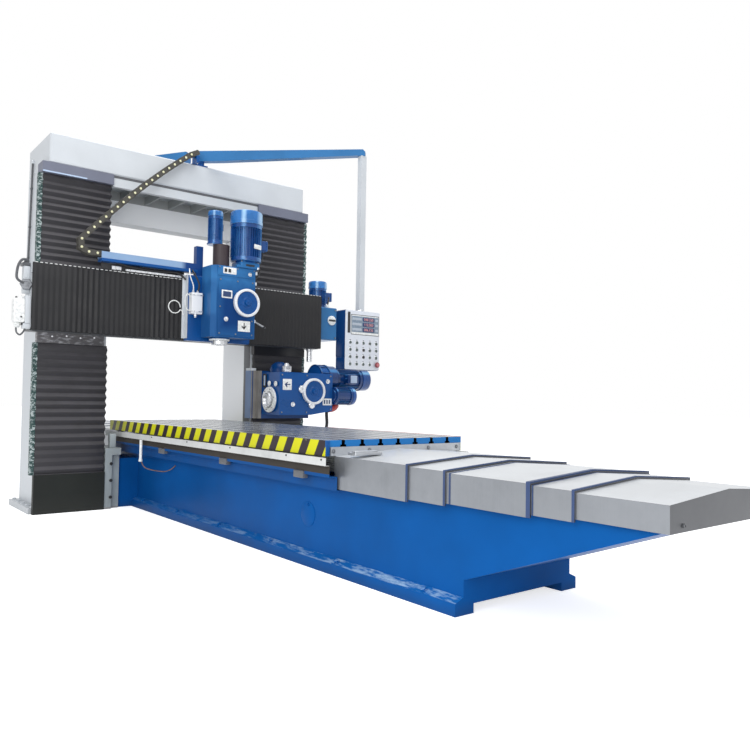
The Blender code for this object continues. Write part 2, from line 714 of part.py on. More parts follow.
def beam_ends(body):
    start = BEAM_HALF + SEAT
    gearbox_x = (start, start + GEARBOX_WIDTH)
    gearbox = box(gearbox_x, (GEARBOX_FRONT, GEARBOX_BACK), (GEARBOX_BOTTOM, GEARBOX_TOP))
    node("feed_gearbox", gearbox, "blue", body, bevel=0.01)
    foot = (start + BEAM_MOTOR_COVER_RADIUS + RUNNING, BEAM_MOTOR_Y, GEARBOX_TOP + SEAT)
    sizes = (BEAM_MOTOR_RADIUS, BEAM_MOTOR_COVER_RADIUS, BEAM_MOTOR_LENGTH, BEAM_MOTOR_COVER)
    neck = (BEAM_MOTOR_COVER_RADIUS, SMALL_MOTOR_FLANGE)
    motor(foot, (0, 0, 1), (1, 0, 0), sizes, neck, "feed_motor_beam", body)
    bracket_x = (-start - OILER_PLATE_WIDTH, -start)
    bracket_y = (OILER_Y - OILER_PLATE_DEPTH / 2, OILER_Y + OILER_PLATE_DEPTH / 2)
    bracket_z = (OILER_BOTTOM, OILER_BOTTOM + OILER_HEIGHT)
    node("oiler_bracket", box(bracket_x, bracket_y, bracket_z), "slate", body, bevel=0.004)
    across = bracket_x[0] - SEAT - OILER_RADIUS
    can = rod((across, OILER_Y, bracket_z[0]), (across, OILER_Y, bracket_z[1]), OILER_RADIUS)
    node("oiler", can, "white", body)


def saddle(body):
    back = BEAM_FRONT - BEAM_WAY_OUT - SEAT
    slab = box((SADDLE_LEFT, SADDLE_RIGHT), (SADDLE_FRONT, back), (SADDLE_BOTTOM, SADDLE_TOP))
    node("saddle", slab, "blue", body, bevel=0.01)
    valve_y = (SADDLE_FRONT - SEAT - VALVE_DEPTH, SADDLE_FRONT - SEAT)
    valve_z = (VALVE_BOTTOM, VALVE_BOTTOM + VALVE_HEIGHT)
    valve = box((VALVE_LEFT, VALVE_LEFT + VALVE_WIDTH), valve_y, valve_z)
    node("oil_valve", valve, "white", body, bevel=0.004)
    post_y = (TRAY_FRONT, TRAY_FRONT + POST_DEPTH)
    post = box((POST_LEFT, POST_LEFT + POST_WIDTH), post_y, (SADDLE_TOP + SEAT, POST_TOP))
    rear = TRAY_FRONT + TRAY_DEPTH
    high = TRAY_BOTTOM + TRAY_HEIGHT
    t = TRAY_SHEET
    outline = [(TRAY_FRONT, high), (TRAY_FRONT, TRAY_BOTTOM), (rear, TRAY_BOTTOM), (rear, high)]
    outline += [(rear - t, high), (rear - t, TRAY_BOTTOM + t)]
    outline += [(TRAY_FRONT + t, TRAY_BOTTOM + t), (TRAY_FRONT + t, high)]
    tray = plate(outline, TRAY_LEFT, POST_LEFT + POST_WIDTH / 4, "X")
    node("cable_tray", fused(tray, post), "blue", body)


def motor(foot, along, up, sizes, neck, name, body):
    """A motor standing on foot, with its fan cover at the far end and a terminal box on the side up.

    sizes are the radius, the fan cover's radius, the whole length and the fan cover's length;
    neck is the radius and height of the flange that it stands on.
    """
    radius, cover_radius, length, cover = sizes
    neck_radius, neck_height = neck
    foot, along, up = Vector(foot), Vector(along), Vector(up)
    flange = rod(foot, foot + along * neck_height, neck_radius, sides=32)
    barrel = rod(foot + along * neck_height / 2, foot + along * (length - cover / 2), radius, sides=32)
    fan = rod(foot + along * (length - cover), foot + along * length, cover_radius, sides=32)
    lug = foot + along * (length * TERMINAL_SHARE) + up * (radius + TERMINAL_OUT)
    reach = TERMINAL_SIZE / 2
    terminal = box(*[(lug[axis] - reach, lug[axis] + reach) for axis in range(3)])
    node(name, fused(barrel, flange, fan, terminal), "blue", body)


def dial(centre, outward, name, body):
    centre, outward = Vector(centre), Vector(outward)
    face = centre + outward * DIAL_DEPTH
    ring = rod(centre, face, DIAL_RADIUS, sides=40)
    clear = DIAL_RADIUS - DIAL_RIM
    hollow = rod(face - outward * DIAL_HOLLOW, face + outward * DIAL_HOLLOW, clear, sides=40)
    hub = rod(face - outward * 2 * DIAL_HOLLOW, face + outward * DIAL_HUB_RAISED, DIAL_HUB)
    node(name, fused(cut(ring, hollow), hub), "white", body)


def spindle_flange(face, outward, radius):
    """The fixed ring round the turning nose."""
    face = Vector(face)
    reach = Vector(outward) * SPINDLE_FLANGE
    return rod(face - reach, face + reach, radius, sides=40)


def spindle(face, outward, name, body):
    """The turning nose, with its open taper, in front of the fixed ring on face."""
    face, outward = Vector(face), Vector(outward)
    root = face + outward * (SPINDLE_FLANGE + SEAT)
    tip = root + outward * SPINDLE_NOSE
    nose = rod(root, tip, SPINDLE_RADIUS, sides=32)
    taper = rod(tip - outward * SPINDLE_BORE_DEPTH, tip + outward * SEAT, SPINDLE_BORE_END, SPINDLE_BORE)
    node(name, cut(nose, taper), "steel", body)


def vertical_head(ram, turning, dial_body):
    back = SADDLE_FRONT - SEAT
    top = HEAD_BOTTOM + HEAD_HEIGHT
    plan = [(HEAD_LEFT, back), (HEAD_LEFT, HEAD_FRONT + HEAD_EDGE), (HEAD_LEFT + HEAD_EDGE, HEAD_FRONT)]
    plan += [(HEAD_RIGHT, HEAD_FRONT), (HEAD_RIGHT, back)]
    housing = plate(plan, HEAD_BOTTOM, top, "Z")
    inset = HEAD_PLATE_INSET
    cover_x = (HEAD_LEFT + HEAD_EDGE + inset, HEAD_RIGHT - inset)
    cover_z = (HEAD_BOTTOM + inset, HEAD_BOTTOM + HEAD_PLATE_HEIGHT)
    cover = box(cover_x, (HEAD_FRONT - HEAD_PLATE_THICK, HEAD_FRONT + inset), cover_z)
    axis = (SPINDLE_X, SPINDLE_Y)
    face = (*axis, HEAD_BOTTOM)
    ring = spindle_flange(face, (0, 0, -1), VERTICAL_FLANGE_RADIUS)
    node("vertical_head", fused(housing, cover, ring), "blue", ram)
    spindle(face, (0, 0, -1), "vertical_spindle", turning)
    seat = top + SEAT
    sizes = (MOTOR_RADIUS, MOTOR_COVER_RADIUS, MOTOR_LENGTH, MOTOR_COVER)
    neck = (MOTOR_FLANGE_RADIUS, MOTOR_FLANGE)
    motor((MOTOR_X, MOTOR_Y, seat), (0, 0, 1), (1, 0, 0), sizes, neck, "main_motor", ram)
    node("drawbar_sleeve", rod((*axis, seat), (*axis, seat + SLEEVE_HEIGHT), SLEEVE_RADIUS), "black", ram)
    small = (SPINDLE_X - SMALL_MOTOR_LEFT, SPINDLE_Y + SMALL_MOTOR_BACK)
    base = seat + SLEEVE_HEIGHT + SEAT
    flange = rod((*small, base), (*small, base + SMALL_MOTOR_FLANGE), SMALL_MOTOR_FLANGE_RADIUS)
    barrel = rod((*small, base), (*small, base + SMALL_MOTOR_LENGTH), SMALL_MOTOR_RADIUS)
    lug_x = (small[0], small[0] + SMALL_MOTOR_RADIUS + SMALL_BOX_OUT)
    lug_y = (small[1], small[1] + SMALL_BOX_SIZE)
    middle = base + SMALL_MOTOR_LENGTH / 2
    lug = box(lug_x, lug_y, (middle, middle + SMALL_BOX_SIZE))
    node("feed_motor_head", fused(barrel, flange, lug), "blue", ram)
    centre = (SPINDLE_X + DIAL_ACROSS, HEAD_FRONT - HEAD_PLATE_THICK - SEAT, HEAD_BOTTOM + DIAL_ALONG)
    dial(centre, (0, -1, 0), "dial_vertical", dial_body)


def side_head(slide, ram, turning, dial_body):
    back = COLUMN_WAY_FRONT - SEAT
    plate_z = (SIDE_BOTTOM, SIDE_BOTTOM + SIDE_HEIGHT)
    carriage = box((SIDE_LEFT, BELLOWS_OUTER), (SIDE_PLATE_FRONT, back), plate_z)
    strip = box((SIDE_STRIP_LEFT, BELLOWS_OUTER), (SIDE_FRONT, back), plate_z)
    node("side_slide", fused(carriage, strip), "blue", slide)
    left = SIDE_RAM_LEFT
    right = left + SIDE_RAM_LENGTH
    rear = SIDE_FRONT - SEAT
    low = SIDE_RAM_BOTTOM
    high = low + SIDE_RAM_HEIGHT
    view = [(left, low), (right - SIDE_RAM_CUT_X, low), (right, low + SIDE_RAM_CUT_Z)]
    view += [(right, high), (left, high)]
    housing = plate(view, SIDE_RAM_FRONT, rear, "Y")
    axis_z = SIDE_SPINDLE_Z + SIDE_MOTOR_UP
    hood_start = (left + SIDE_HOOD_START, SIDE_SPINDLE_Y, axis_z)
    hood = rod(hood_start, (right, SIDE_SPINDLE_Y, axis_z), SIDE_HOOD_RADIUS, sides=32)
    face = (left, SIDE_SPINDLE_Y, SIDE_SPINDLE_Z)
    ring = spindle_flange(face, (-1, 0, 0), SIDE_FLANGE_RADIUS)
    node("side_head", fused(housing, hood, ring), "blue", ram)
    spindle(face, (-1, 0, 0), "side_spindle", turning)
    sizes = (SIDE_MOTOR_RADIUS, SIDE_MOTOR_COVER_RADIUS, SIDE_MOTOR_LENGTH, SIDE_MOTOR_COVER)
    neck = (SIDE_HOOD_RADIUS, SIDE_HOOD)
    motor((right + SEAT, SIDE_SPINDLE_Y, axis_z), (1, 0, 0), (0, -1, 0), sizes, neck, "side_motor", ram)
    foot = Vector((right + SEAT, SIDE_SPINDLE_Y - SIDE_FEED_FORWARD, SIDE_SPINDLE_Z + SIDE_FEED_UP))
    end = foot + Vector((SIDE_FEED_LENGTH, 0, 0))
    node("feed_motor_side", rod(foot, end, SIDE_FEED_RADIUS), "blue", ram)
    centre = (left + SIDE_DIAL_ALONG, SIDE_RAM_FRONT - SEAT, SIDE_SPINDLE_Z + SIDE_DIAL_UP)
    dial(centre, (0, -1, 0), "dial_side", dial_body)


def pendant(boom_body, pole_body):
    base = CROWN_TOP + SEAT
    half = PIVOT_PLATE_HALF
    rest = CHAIN_TOP_Z - CHAIN_HEIGHT / 2 - SEAT
    holder_x = (CHAIN_TOP_X + CHAIN_TOP_RUN - HOLDER_WIDTH, CHAIN_TOP_X + CHAIN_TOP_RUN)
    foot = box((holder_x[0], PIVOT_X + half), (PIVOT_Y - half, PIVOT_Y + half), (base, base + PIVOT_PLATE))
    pin = rod((PIVOT_X, PIVOT_Y, base), (PIVOT_X, PIVOT_Y, base + PIVOT_HEIGHT), PIVOT_RADIUS)
    holder_y = (CHAIN_TOP_Y - CHAIN_WIDTH / 2, PIVOT_Y - half + PIVOT_PLATE)
    holder = box(holder_x, holder_y, (base, rest))
    node("boom_pivot", fused(foot, pin, holder), "blue")
    start = Vector((PIVOT_X, PIVOT_Y))
    end = Vector((BOOM_END_X, BOOM_END_Y))
    reach = (end - start).length
    turn = math.atan2(end.y - start.y, end.x - start.x)
    top = base + PIVOT_HEIGHT + SEAT + BOOM_ROOT_HEIGHT
    rise = BOOM_TIP_HEIGHT
    nose = reach + POLE_WIDTH / 2
    bend = BOOM_TIP_BEND
    outline = [(-BOOM_ROOT_BACK, top - BOOM_ROOT_HEIGHT), (BOOM_ROOT_LENGTH, top - BOOM_ROOT_HEIGHT)]
    outline += [(reach - POLE_WIDTH, top - rise), (nose, top - rise), (nose, top - bend)]
    outline += [(nose - bend, top), (-BOOM_ROOT_BACK, top)]
    arm = plate(outline, -BOOM_WIDTH / 2, BOOM_WIDTH / 2, "Y")
    moved(arm, Matrix.Translation((PIVOT_X, PIVOT_Y, 0)) @ Matrix.Rotation(turn, 4, "Z"))
    node("pendant_boom", arm, "blue", boom_body)
    half = POLE_WIDTH / 2
    pendant_top = PENDANT_BOTTOM + PENDANT_HEIGHT
    pole_z = (pendant_top + SEAT, top - rise - SEAT)
    pole = box((BOOM_END_X - half, BOOM_END_X + half), (BOOM_END_Y - half, BOOM_END_Y + half), pole_z)
    node("pendant_pole", pole, "grey", pole_body)
    middle = BOOM_END_X - PENDANT_LEFT
    wide = (middle - PENDANT_WIDTH / 2, middle + PENDANT_WIDTH / 2)
    deep = (BOOM_END_Y - PENDANT_DEPTH / 2, BOOM_END_Y + PENDANT_DEPTH / 2)
    panel = box(wide, deep, (PENDANT_BOTTOM, pendant_top))
    node("pendant_box", panel, "blue", pole_body, bevel=0.006)
    back = Vector((DUCT_END_X, DUCT_END_Y))
    near = Vector((DUCT_START_X, DUCT_START_Y))
    length = (back - near).length
    angle = math.atan2(back.y - near.y, back.x - near.x)
    duct_z = (base, base + PIVOT_HEIGHT + BOOM_ROOT_HEIGHT)
    duct = box((0, length), (-DUCT_WIDTH / 2, DUCT_WIDTH / 2), duct_z)
    moved(duct, Matrix.Translation((near.x, near.y, 0)) @ Matrix.Rotation(angle, 4, "Z"))
    node("cable_duct", duct, "blue")


def chain_path():
    """The chain's middle line in X and Z: out of the tray, round the curl, up the slope to the boom."""
    low = TRAY_BOTTOM + TRAY_SHEET + SEAT + CHAIN_HEIGHT / 2
    turn_x = TRAY_LEFT - CHAIN_RUN
    path = [(TRAY_LEFT + CHAIN_INSIDE, low)]
    rise = math.radians(CHAIN_START_RISE)
    for step in range(CHAIN_STEPS + 1):
        angle = (math.pi - rise) * step / CHAIN_STEPS
        path.append((turn_x - CHAIN_CURL * math.sin(angle), low + CHAIN_CURL * (1 - math.cos(angle))))
    start = Vector(path[-1])
    end = Vector((CHAIN_TOP_X, CHAIN_TOP_Z))
    slope = math.tan(rise)
    end_slope = math.tan(math.radians(CHAIN_END_RISE))
    across = (end.y - start.y + slope * start.x - end_slope * end.x) / (slope - end_slope)
    bend = Vector((across, start.y + slope * (across - start.x)))
    for step in range(1, CHAIN_STEPS + 1):
        share = step / CHAIN_STEPS
        point = start * (1 - share) ** 2 + bend * (2 * share * (1 - share)) + end * share ** 2
        path.append((point.x, point.y))
    path.append((CHAIN_TOP_X + CHAIN_TOP_RUN, CHAIN_TOP_Z))
    return path


def drag_chain():
    """The cable chain from the tray's end up to the boom, as one fixed piece."""
    depth = TRAY_FRONT + TRAY_DEPTH / 2
    path = chain_path()
    half = CHAIN_HEIGHT / 2
    upper = []
    lower = []
    for index, (x, z) in enumerate(path):
        before = Vector(path[max(index - 1, 0)])
        after = Vector(path[min(index + 1, len(path) - 1)])
        tangent = (after - before).normalized()
        side = Vector((-tangent.y, tangent.x)) * half
        upper.append((x + side.x, z + side.y))
        lower.append((x - side.x, z - side.y))
    band = plate(upper + lower[::-1], depth - CHAIN_WIDTH / 2, depth + CHAIN_WIDTH / 2, "Y")
    level = POST_TOP
    drift = (CHAIN_TOP_Y - depth) / (CHAIN_TOP_Z - level)
    for vertex in band.data.vertices:
        vertex.co.y += drift * min(max(vertex.co.z - level, 0), CHAIN_TOP_Z - level)
    node("drag_chain", band, "black")


clear_scene()
MACHINE = make_collection("gantry_milling_machine")
bed()
gutters()
table_body = body_at("table_axis", (0, TABLE_FRONT + TABLE_LENGTH / 2, BED_TOP + WAY_HEIGHT))
table(table_body)
cover_bodies = {("front", 0): table_body, ("rear", 0): table_body}
for where in ("front", "rear"):
    for index in range(1, len(COVER_SHARES)):
        name = f"{where}_cover_{index + 1}_axis"
        cover_bodies[where, index] = body_at(name, (0, TABLE_FRONT, COVER_EAVE))
covers(cover_bodies)
column(-1)
column(1)
crown()
column_bellows()
beam_body = body_at("crossbeam_axis", (0, COLUMN_WAY_FRONT, BEAM_BOTTOM + BEAM_HEIGHT / 2))
crossbeam(beam_body)
beam_ends(beam_body)
saddle_body = body_at("saddle_axis", (0, BEAM_FRONT - BEAM_WAY_OUT, BEAM_BOTTOM + BEAM_HEIGHT / 2))
saddle(saddle_body)
head_body = body_at("vertical_head_axis", (SPINDLE_X, SADDLE_FRONT, HEAD_BOTTOM + HEAD_HEIGHT / 2))
spindle_body = body_at("vertical_spindle_axis", (SPINDLE_X, SPINDLE_Y, HEAD_BOTTOM))
dial_place = (SPINDLE_X + DIAL_ACROSS, HEAD_FRONT, HEAD_BOTTOM + DIAL_ALONG)
vertical_head(head_body, spindle_body, body_at("dial_vertical_axis", dial_place))
slide_place = ((COLUMN_INNER + COLUMN_OUTER) / 2, COLUMN_WAY_FRONT, SIDE_BOTTOM + SIDE_HEIGHT / 2)
ram_body = body_at("side_head_axis", (SIDE_RAM_LEFT, SIDE_FRONT, SIDE_SPINDLE_Z))
side_spindle_body = body_at("side_spindle_axis", (SIDE_RAM_LEFT, SIDE_SPINDLE_Y, SIDE_SPINDLE_Z))
dial_place = (SIDE_RAM_LEFT + SIDE_DIAL_ALONG, SIDE_RAM_FRONT, SIDE_SPINDLE_Z + SIDE_DIAL_UP)
side_dial_body = body_at("dial_side_axis", dial_place)
side_head(body_at("side_slide_axis", slide_place), ram_body, side_spindle_body, side_dial_body)
boom_body = body_at("boom_axis", (PIVOT_X, PIVOT_Y, CROWN_TOP + PIVOT_HEIGHT))
pole_body = body_at("pendant_axis", (BOOM_END_X, BOOM_END_Y, CROWN_TOP))
pendant(boom_body, pole_body)
drag_chain()
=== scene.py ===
import json
import math

import bmesh
import bpy
import numpy as np
from mathutils import Matrix, Vector


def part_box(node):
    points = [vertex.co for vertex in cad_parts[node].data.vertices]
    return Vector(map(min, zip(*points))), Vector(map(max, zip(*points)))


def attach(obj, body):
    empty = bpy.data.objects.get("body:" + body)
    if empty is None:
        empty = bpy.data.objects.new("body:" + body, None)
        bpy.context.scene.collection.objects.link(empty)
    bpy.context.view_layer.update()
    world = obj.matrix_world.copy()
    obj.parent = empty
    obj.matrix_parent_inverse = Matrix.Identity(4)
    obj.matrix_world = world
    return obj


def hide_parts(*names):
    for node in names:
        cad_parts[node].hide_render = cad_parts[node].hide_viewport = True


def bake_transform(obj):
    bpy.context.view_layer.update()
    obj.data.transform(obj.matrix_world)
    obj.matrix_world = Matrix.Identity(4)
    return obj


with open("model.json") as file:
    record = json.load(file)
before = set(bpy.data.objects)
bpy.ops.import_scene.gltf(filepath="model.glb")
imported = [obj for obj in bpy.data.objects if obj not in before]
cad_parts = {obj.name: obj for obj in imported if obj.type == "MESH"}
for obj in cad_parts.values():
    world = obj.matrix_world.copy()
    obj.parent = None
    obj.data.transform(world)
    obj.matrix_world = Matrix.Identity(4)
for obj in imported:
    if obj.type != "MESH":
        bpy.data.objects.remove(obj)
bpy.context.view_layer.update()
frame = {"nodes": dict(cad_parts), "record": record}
NODES = frame["nodes"]

# Camera
CAMERA_PLACE = (-3.338, -7.464, 1.166)
CAMERA_HEADING = 38.687
CAMERA_RISE = 1.886
CAMERA_ROLL = 0.904
CAMERA_LENS = 34.776

# Light: the surround's strength, and each lamp's place, width and power
WORLD_LIGHT = 0.70
LAMPS = (((-6, -6.5, 3.2), 4, 205), ((0, -2, 10), 7, 600), ((-3.5, -8.5, 0.9), 3, 95))

# Sizes that the finishes and pieces share with the solids
TABLE_LOW, TABLE_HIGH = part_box("table")
TABLE_TOP = TABLE_HIGH[2]
TABLE_WIDTH = TABLE_HIGH[0] - TABLE_LOW[0]
TABLE_LENGTH = TABLE_HIGH[1] - TABLE_LOW[1]
TABLE_MIDDLE = (TABLE_LOW[1] + TABLE_HIGH[1]) / 2
STRIPE_PITCH = 0.1965
STRIPE_START = TABLE_LOW[1] + 0.123
BLUE = (0.004, 0.085, 0.31)
GREY = (0.59, 0.62, 0.65)


def set_camera():
    """The camera stands at the photo's angle; heading is counted from +Y towards +X."""
    heading, rise, roll = (math.radians(angle) for angle in (CAMERA_HEADING, CAMERA_RISE, CAMERA_ROLL))
    ahead = Vector((math.sin(heading) * math.cos(rise), math.cos(heading) * math.cos(rise), math.sin(rise)))
    level = Vector((math.cos(heading), -math.sin(heading), 0))
    upright = level.cross(ahead)
    right = math.cos(roll) * level + math.sin(roll) * upright
    up = math.cos(roll) * upright - math.sin(roll) * level
    data = bpy.data.cameras.new("camera")
    data.lens = CAMERA_LENS
    data.sensor_width = 36
    data.clip_end = 100
    camera = bpy.data.objects.new("camera", data)
    bpy.context.scene.collection.objects.link(camera)
    turn = Matrix((right, up, -ahead)).transposed().to_4x4()
    camera.matrix_world = Matrix.Translation(CAMERA_PLACE) @ turn
    bpy.context.scene.camera = camera


class Value:
    """A socket of a material that can be used in sums; each operator adds the node it needs."""

    def __init__(self, finish, socket):
        self.finish = finish
        self.socket = socket

    def _sum(self, operation, *values):
        return self.finish.node("ShaderNodeMath", {"operation": operation}, dict(enumerate(values)))

    def __add__(self, other):
        return self._sum("ADD", self, other)

    def __radd__(self, other):
        return self._sum("ADD", other, self)

    def __sub__(self, other):
        return self._sum("SUBTRACT", self, other)

    def __rsub__(self, other):
        return self._sum("SUBTRACT", other, self)

    def __mul__(self, other):
        return self._sum("MULTIPLY", self, other)

    def __rmul__(self, other):
        return self._sum("MULTIPLY", other, self)

    def __truediv__(self, other):
        return self._sum("DIVIDE", self, other)

    def __gt__(self, other):
        return self._sum("GREATER_THAN", self, other)

    def __lt__(self, other):
        return self._sum("LESS_THAN", self, other)

    def __abs__(self):
        return self._sum("ABSOLUTE", self)

    def fraction(self):
        return self._sum("FRACT", self)

    def most(self, other):
        return self._sum("MAXIMUM", self, other)


class Finish:
    """One material: its nodes are added with node(), and put() feeds the shader."""

    def __init__(self, name, **constants):
        self.material = bpy.data.materials.new(name)
        self.material.use_nodes = True
        self.tree = self.material.node_tree
        self.shader = self.tree.nodes["Principled BSDF"]
        for socket, value in constants.items():
            self.shader.inputs[socket.replace("_", " ")].default_value = value

    def node(self, kind, settings=None, sockets=None, out=0):
        made = self.tree.nodes.new(kind)
        for name, value in (settings or {}).items():
            if name == "stops":
                ramp = made.color_ramp.elements
                while len(ramp) < len(value):
                    ramp.new(0.5)
                for stop, (place, colour) in zip(ramp, value):
                    stop.position = place
                    stop.color = colour
            else:
                setattr(made, name, value)
        for name, value in (sockets or {}).items():
            if isinstance(value, Value):
                self.tree.links.new(value.socket, made.inputs[name])
            else:
                made.inputs[name].default_value = value
        if isinstance(out, tuple):
            return [Value(self, made.outputs[name]) for name in out]
        return Value(self, made.outputs[out])

    def place(self):
        """Object coordinates, in metres."""
        return self.node("ShaderNodeTexCoord", out="Object")

    def axes(self, vector):
        return self.node("ShaderNodeSeparateXYZ", None, {"Vector": vector}, ("X", "Y", "Z"))

    def stretched(self, vector, scale):
        return self.node("ShaderNodeVectorMath", {"operation": "MULTIPLY"}, {0: vector, 1: scale})

    def noise(self, vector, scale, detail=3.0, roughness=0.55):
        sockets = {"Vector": vector, "Scale": scale, "Detail": detail, "Roughness": roughness}
        return self.node("ShaderNodeTexNoise", None, sockets, "Fac")

    def ramp(self, value, low, high, start=0.0, end=1.0):
        """The value, taken from the range low to high onto the range start to end, and held there."""
        sockets = {"Value": value, "From Min": low, "From Max": high, "To Min": start, "To Max": end}
        return self.node("ShaderNodeMapRange", {"clamp": True}, sockets)

    def mix(self, share, first, second):
        return self.node("ShaderNodeMix", {"data_type": "RGBA"}, {0: share, 6: first, 7: second}, 2)

    def bump(self, height, distance, strength=1.0):
        sockets = {"Height": height, "Distance": distance, "Strength": strength}
        self.put("Normal", self.node("ShaderNodeBump", None, sockets, "Normal"))

    def put(self, socket, value):
        if isinstance(value, Value):
            self.tree.links.new(value.socket, self.shader.inputs[socket])
        else:
            self.shader.inputs[socket].default_value = value


def set_stage():
    """A white floor and surround that leave the machine its shadow, and soft lamps: the strongest light
    comes from above and from the machine's left side, as in the photo."""
    data = bpy.data.meshes.new("floor")
    reach = 60.0
    corners = [(-reach, -reach, 0), (reach, -reach, 0), (reach, reach, 0), (-reach, reach, 0)]
    data.from_pydata(corners, [], [(0, 1, 2, 3)])
    floor = bpy.data.objects.new("floor", data)
    bpy.context.scene.collection.objects.link(floor)
    paint = Finish("floor_paint", Base_Color=(0.8, 0.8, 0.8, 1), Roughness=0.9, Specular_IOR_Level=0.0)
    rays = paint.node("ShaderNodeLightPath", out=("Is Camera Ray", "Is Glossy Ray"))
    seen = rays[0].most(rays[1])
    paint.put("Emission Color", paint.mix(seen, (0, 0, 0, 1), (0.7, 0.7, 0.7, 1)))
    paint.put("Emission Strength", 1.0)
    data.materials.append(paint.material)
    world = bpy.data.worlds.new("surround")
    bpy.context.scene.world = world
    world.use_nodes = True
    tree = world.node_tree
    lit = tree.nodes["Background"]
    lit.inputs["Color"].default_value = (0.95, 0.97, 1.0, 1)
    lit.inputs["Strength"].default_value = WORLD_LIGHT
    white = tree.nodes.new("ShaderNodeBackground")
    white.inputs["Color"].default_value = (1, 1, 1, 1)
    path = tree.nodes.new("ShaderNodeLightPath")
    direct = tree.nodes.new("ShaderNodeMath")
    direct.operation = "MAXIMUM"
    tree.links.new(path.outputs["Is Camera Ray"], direct.inputs[0])
    tree.links.new(path.outputs["Is Glossy Ray"], direct.inputs[1])
    chosen = tree.nodes.new("ShaderNodeMixShader")
    tree.links.new(direct.outputs[0], chosen.inputs[0])
    tree.links.new(lit.outputs[0], chosen.inputs[1])
    tree.links.new(white.outputs[0], chosen.inputs[2])
    tree.links.new(chosen.outputs[0], tree.nodes["World Output"].inputs["Surface"])
    for place, size, power in LAMPS:
        lamp = bpy.data.lights.new("lamp", "AREA")
        lamp.size = size
        lamp.energy = power
        item = bpy.data.objects.new("lamp", lamp)
        bpy.context.scene.collection.objects.link(item)
        item.location = place
        item.rotation_euler = (Vector((0, -1.5, 1.2)) - Vector(place)).to_track_quat("-Z", "Y").to_euler()


def tone(colour, factor=1.0):
    return (*[min(channel * factor, 1.0) for channel in colour], 1)


def enamel(name, colour, roughness=0.3, coat=0.35, cloud=0.12, grime=0.0, gloss=0.5):
    """Sprayed machine paint: faint clouds, fine orange peel, and a little dirt near the floor."""
    paint = Finish(name, Coat_Weight=coat, Coat_Roughness=0.1, Specular_IOR_Level=gloss)
    place = paint.place()
    clouds = paint.noise(place, 2.2, 4.0)
    base = paint.mix(paint.ramp(clouds, 0.3, 0.7), tone(colour, 1 - cloud), tone(colour, 1 + cloud))
    specks = paint.ramp(paint.noise(place, 60.0, 2.0), 0.62, 0.75)
    base = paint.mix(specks * 0.10, base, tone(colour, 0.55))
    if grime:
        height = paint.axes(place)[2]
        dirt = paint.ramp(height + 0.08 * paint.noise(place, 9.0, 5.0), 0.0, 0.22, grime, 0.0)
        base = paint.mix(dirt, base, (0.06, 0.06, 0.055, 1))
    paint.put("Base Color", base)
    paint.put("Roughness", paint.ramp(clouds, 0.25, 0.75, roughness - 0.05, roughness + 0.09))
    paint.bump(paint.noise(place, 180.0, 2.0) * 0.6 + paint.noise(place, 14.0, 2.0), 0.0006, 0.35)
    return paint


def motor_enamel(name, dark, pale, upright=True):
    """Motor paint: long soft painted highlights by the direction each face looks, over faint clouds."""
    paint = Finish(name, Coat_Weight=0.2, Coat_Roughness=0.1, Specular_IOR_Level=0.4)
    place = paint.place()
    clouds = paint.noise(place, 6.0, 4.0)
    x, y, z = paint.axes(paint.node("ShaderNodeTexCoord", out="Normal"))
    turn = x * 0.78 - y * 0.625 if upright else z
    # Painted highlights: a pale streak and a pale rim on the faces that look a given way, by the object's
    # normals.
    painted_highlight_streak = paint.ramp(abs(turn - (0.02 if upright else 0.62)), 0.05, 0.20, 1.0, 0.0)
    rim = paint.ramp(turn, 0.76, 0.93) if upright else paint.ramp(turn, 0.90, 0.99, 0.0, 0.5)
    light = painted_highlight_streak.most(rim) * paint.ramp(clouds, 0.25, 0.6, 0.55, 1.0)
    base = paint.mix(paint.ramp(clouds, 0.3, 0.7), tone(dark, 0.8), tone(dark, 1.2))
    paint.put("Base Color", paint.mix(light, base, tone(pale)))
    paint.put("Roughness", paint.ramp(clouds, 0.3, 0.7, 0.24, 0.34))
    paint.bump(paint.noise(place, 160.0, 2.0), 0.0004, 0.3)
    return paint


def head_enamel():
    """The vertical head's paint: machine blue with painted sheen near its top, near its foot and along its
    front edges, and painted light on its left flank.
    """
    paint = Finish("head_blue", Coat_Weight=0.02, Coat_Roughness=0.1, Specular_IOR_Level=0.12)
    place = paint.place()
    x, _, z = paint.axes(place)
    clouds = paint.noise(place, 3.2, 4.0)
    level = z + 0.16 * clouds
    # Painted sheen and light: paler towards the top and the foot, towards the front's side edges, and on the
    # faces that look towards -X.
    painted_sheen_height = paint.ramp(level, 2.28, 2.50).most(paint.ramp(level, 2.02, 1.90, 0.0, 0.42))
    across = paint.ramp(abs(x - 0.30), 0.12, 0.24)
    painted_flank_light = paint.axes(paint.node("ShaderNodeTexCoord", out="Normal"))[0] < -0.5
    painted_flank_light = painted_flank_light * paint.ramp(abs(level - 2.28), 0.24, 0.14, 0.1, 0.62)
    light = (painted_sheen_height * 0.9).most(across * 0.40).most(painted_flank_light) * paint.ramp(clouds, 0.25, 0.6, 0.5, 1.0)
    base = paint.mix(light, (0.003, 0.042, 0.175, 1), (0.040, 0.190, 0.450, 1))
    specks = paint.ramp(paint.noise(place, 60.0, 2.0), 0.62, 0.75)
    paint.put("Base Color", paint.mix(specks * 0.1, base, (0.002, 0.04, 0.14, 1)))
    paint.put("Roughness", paint.ramp(clouds, 0.25, 0.75, 0.24, 0.38))
    paint.bump(paint.noise(place, 180.0, 2.0) * 0.6 + paint.noise(place, 14.0, 2.0), 0.0006, 0.35)
    return paint


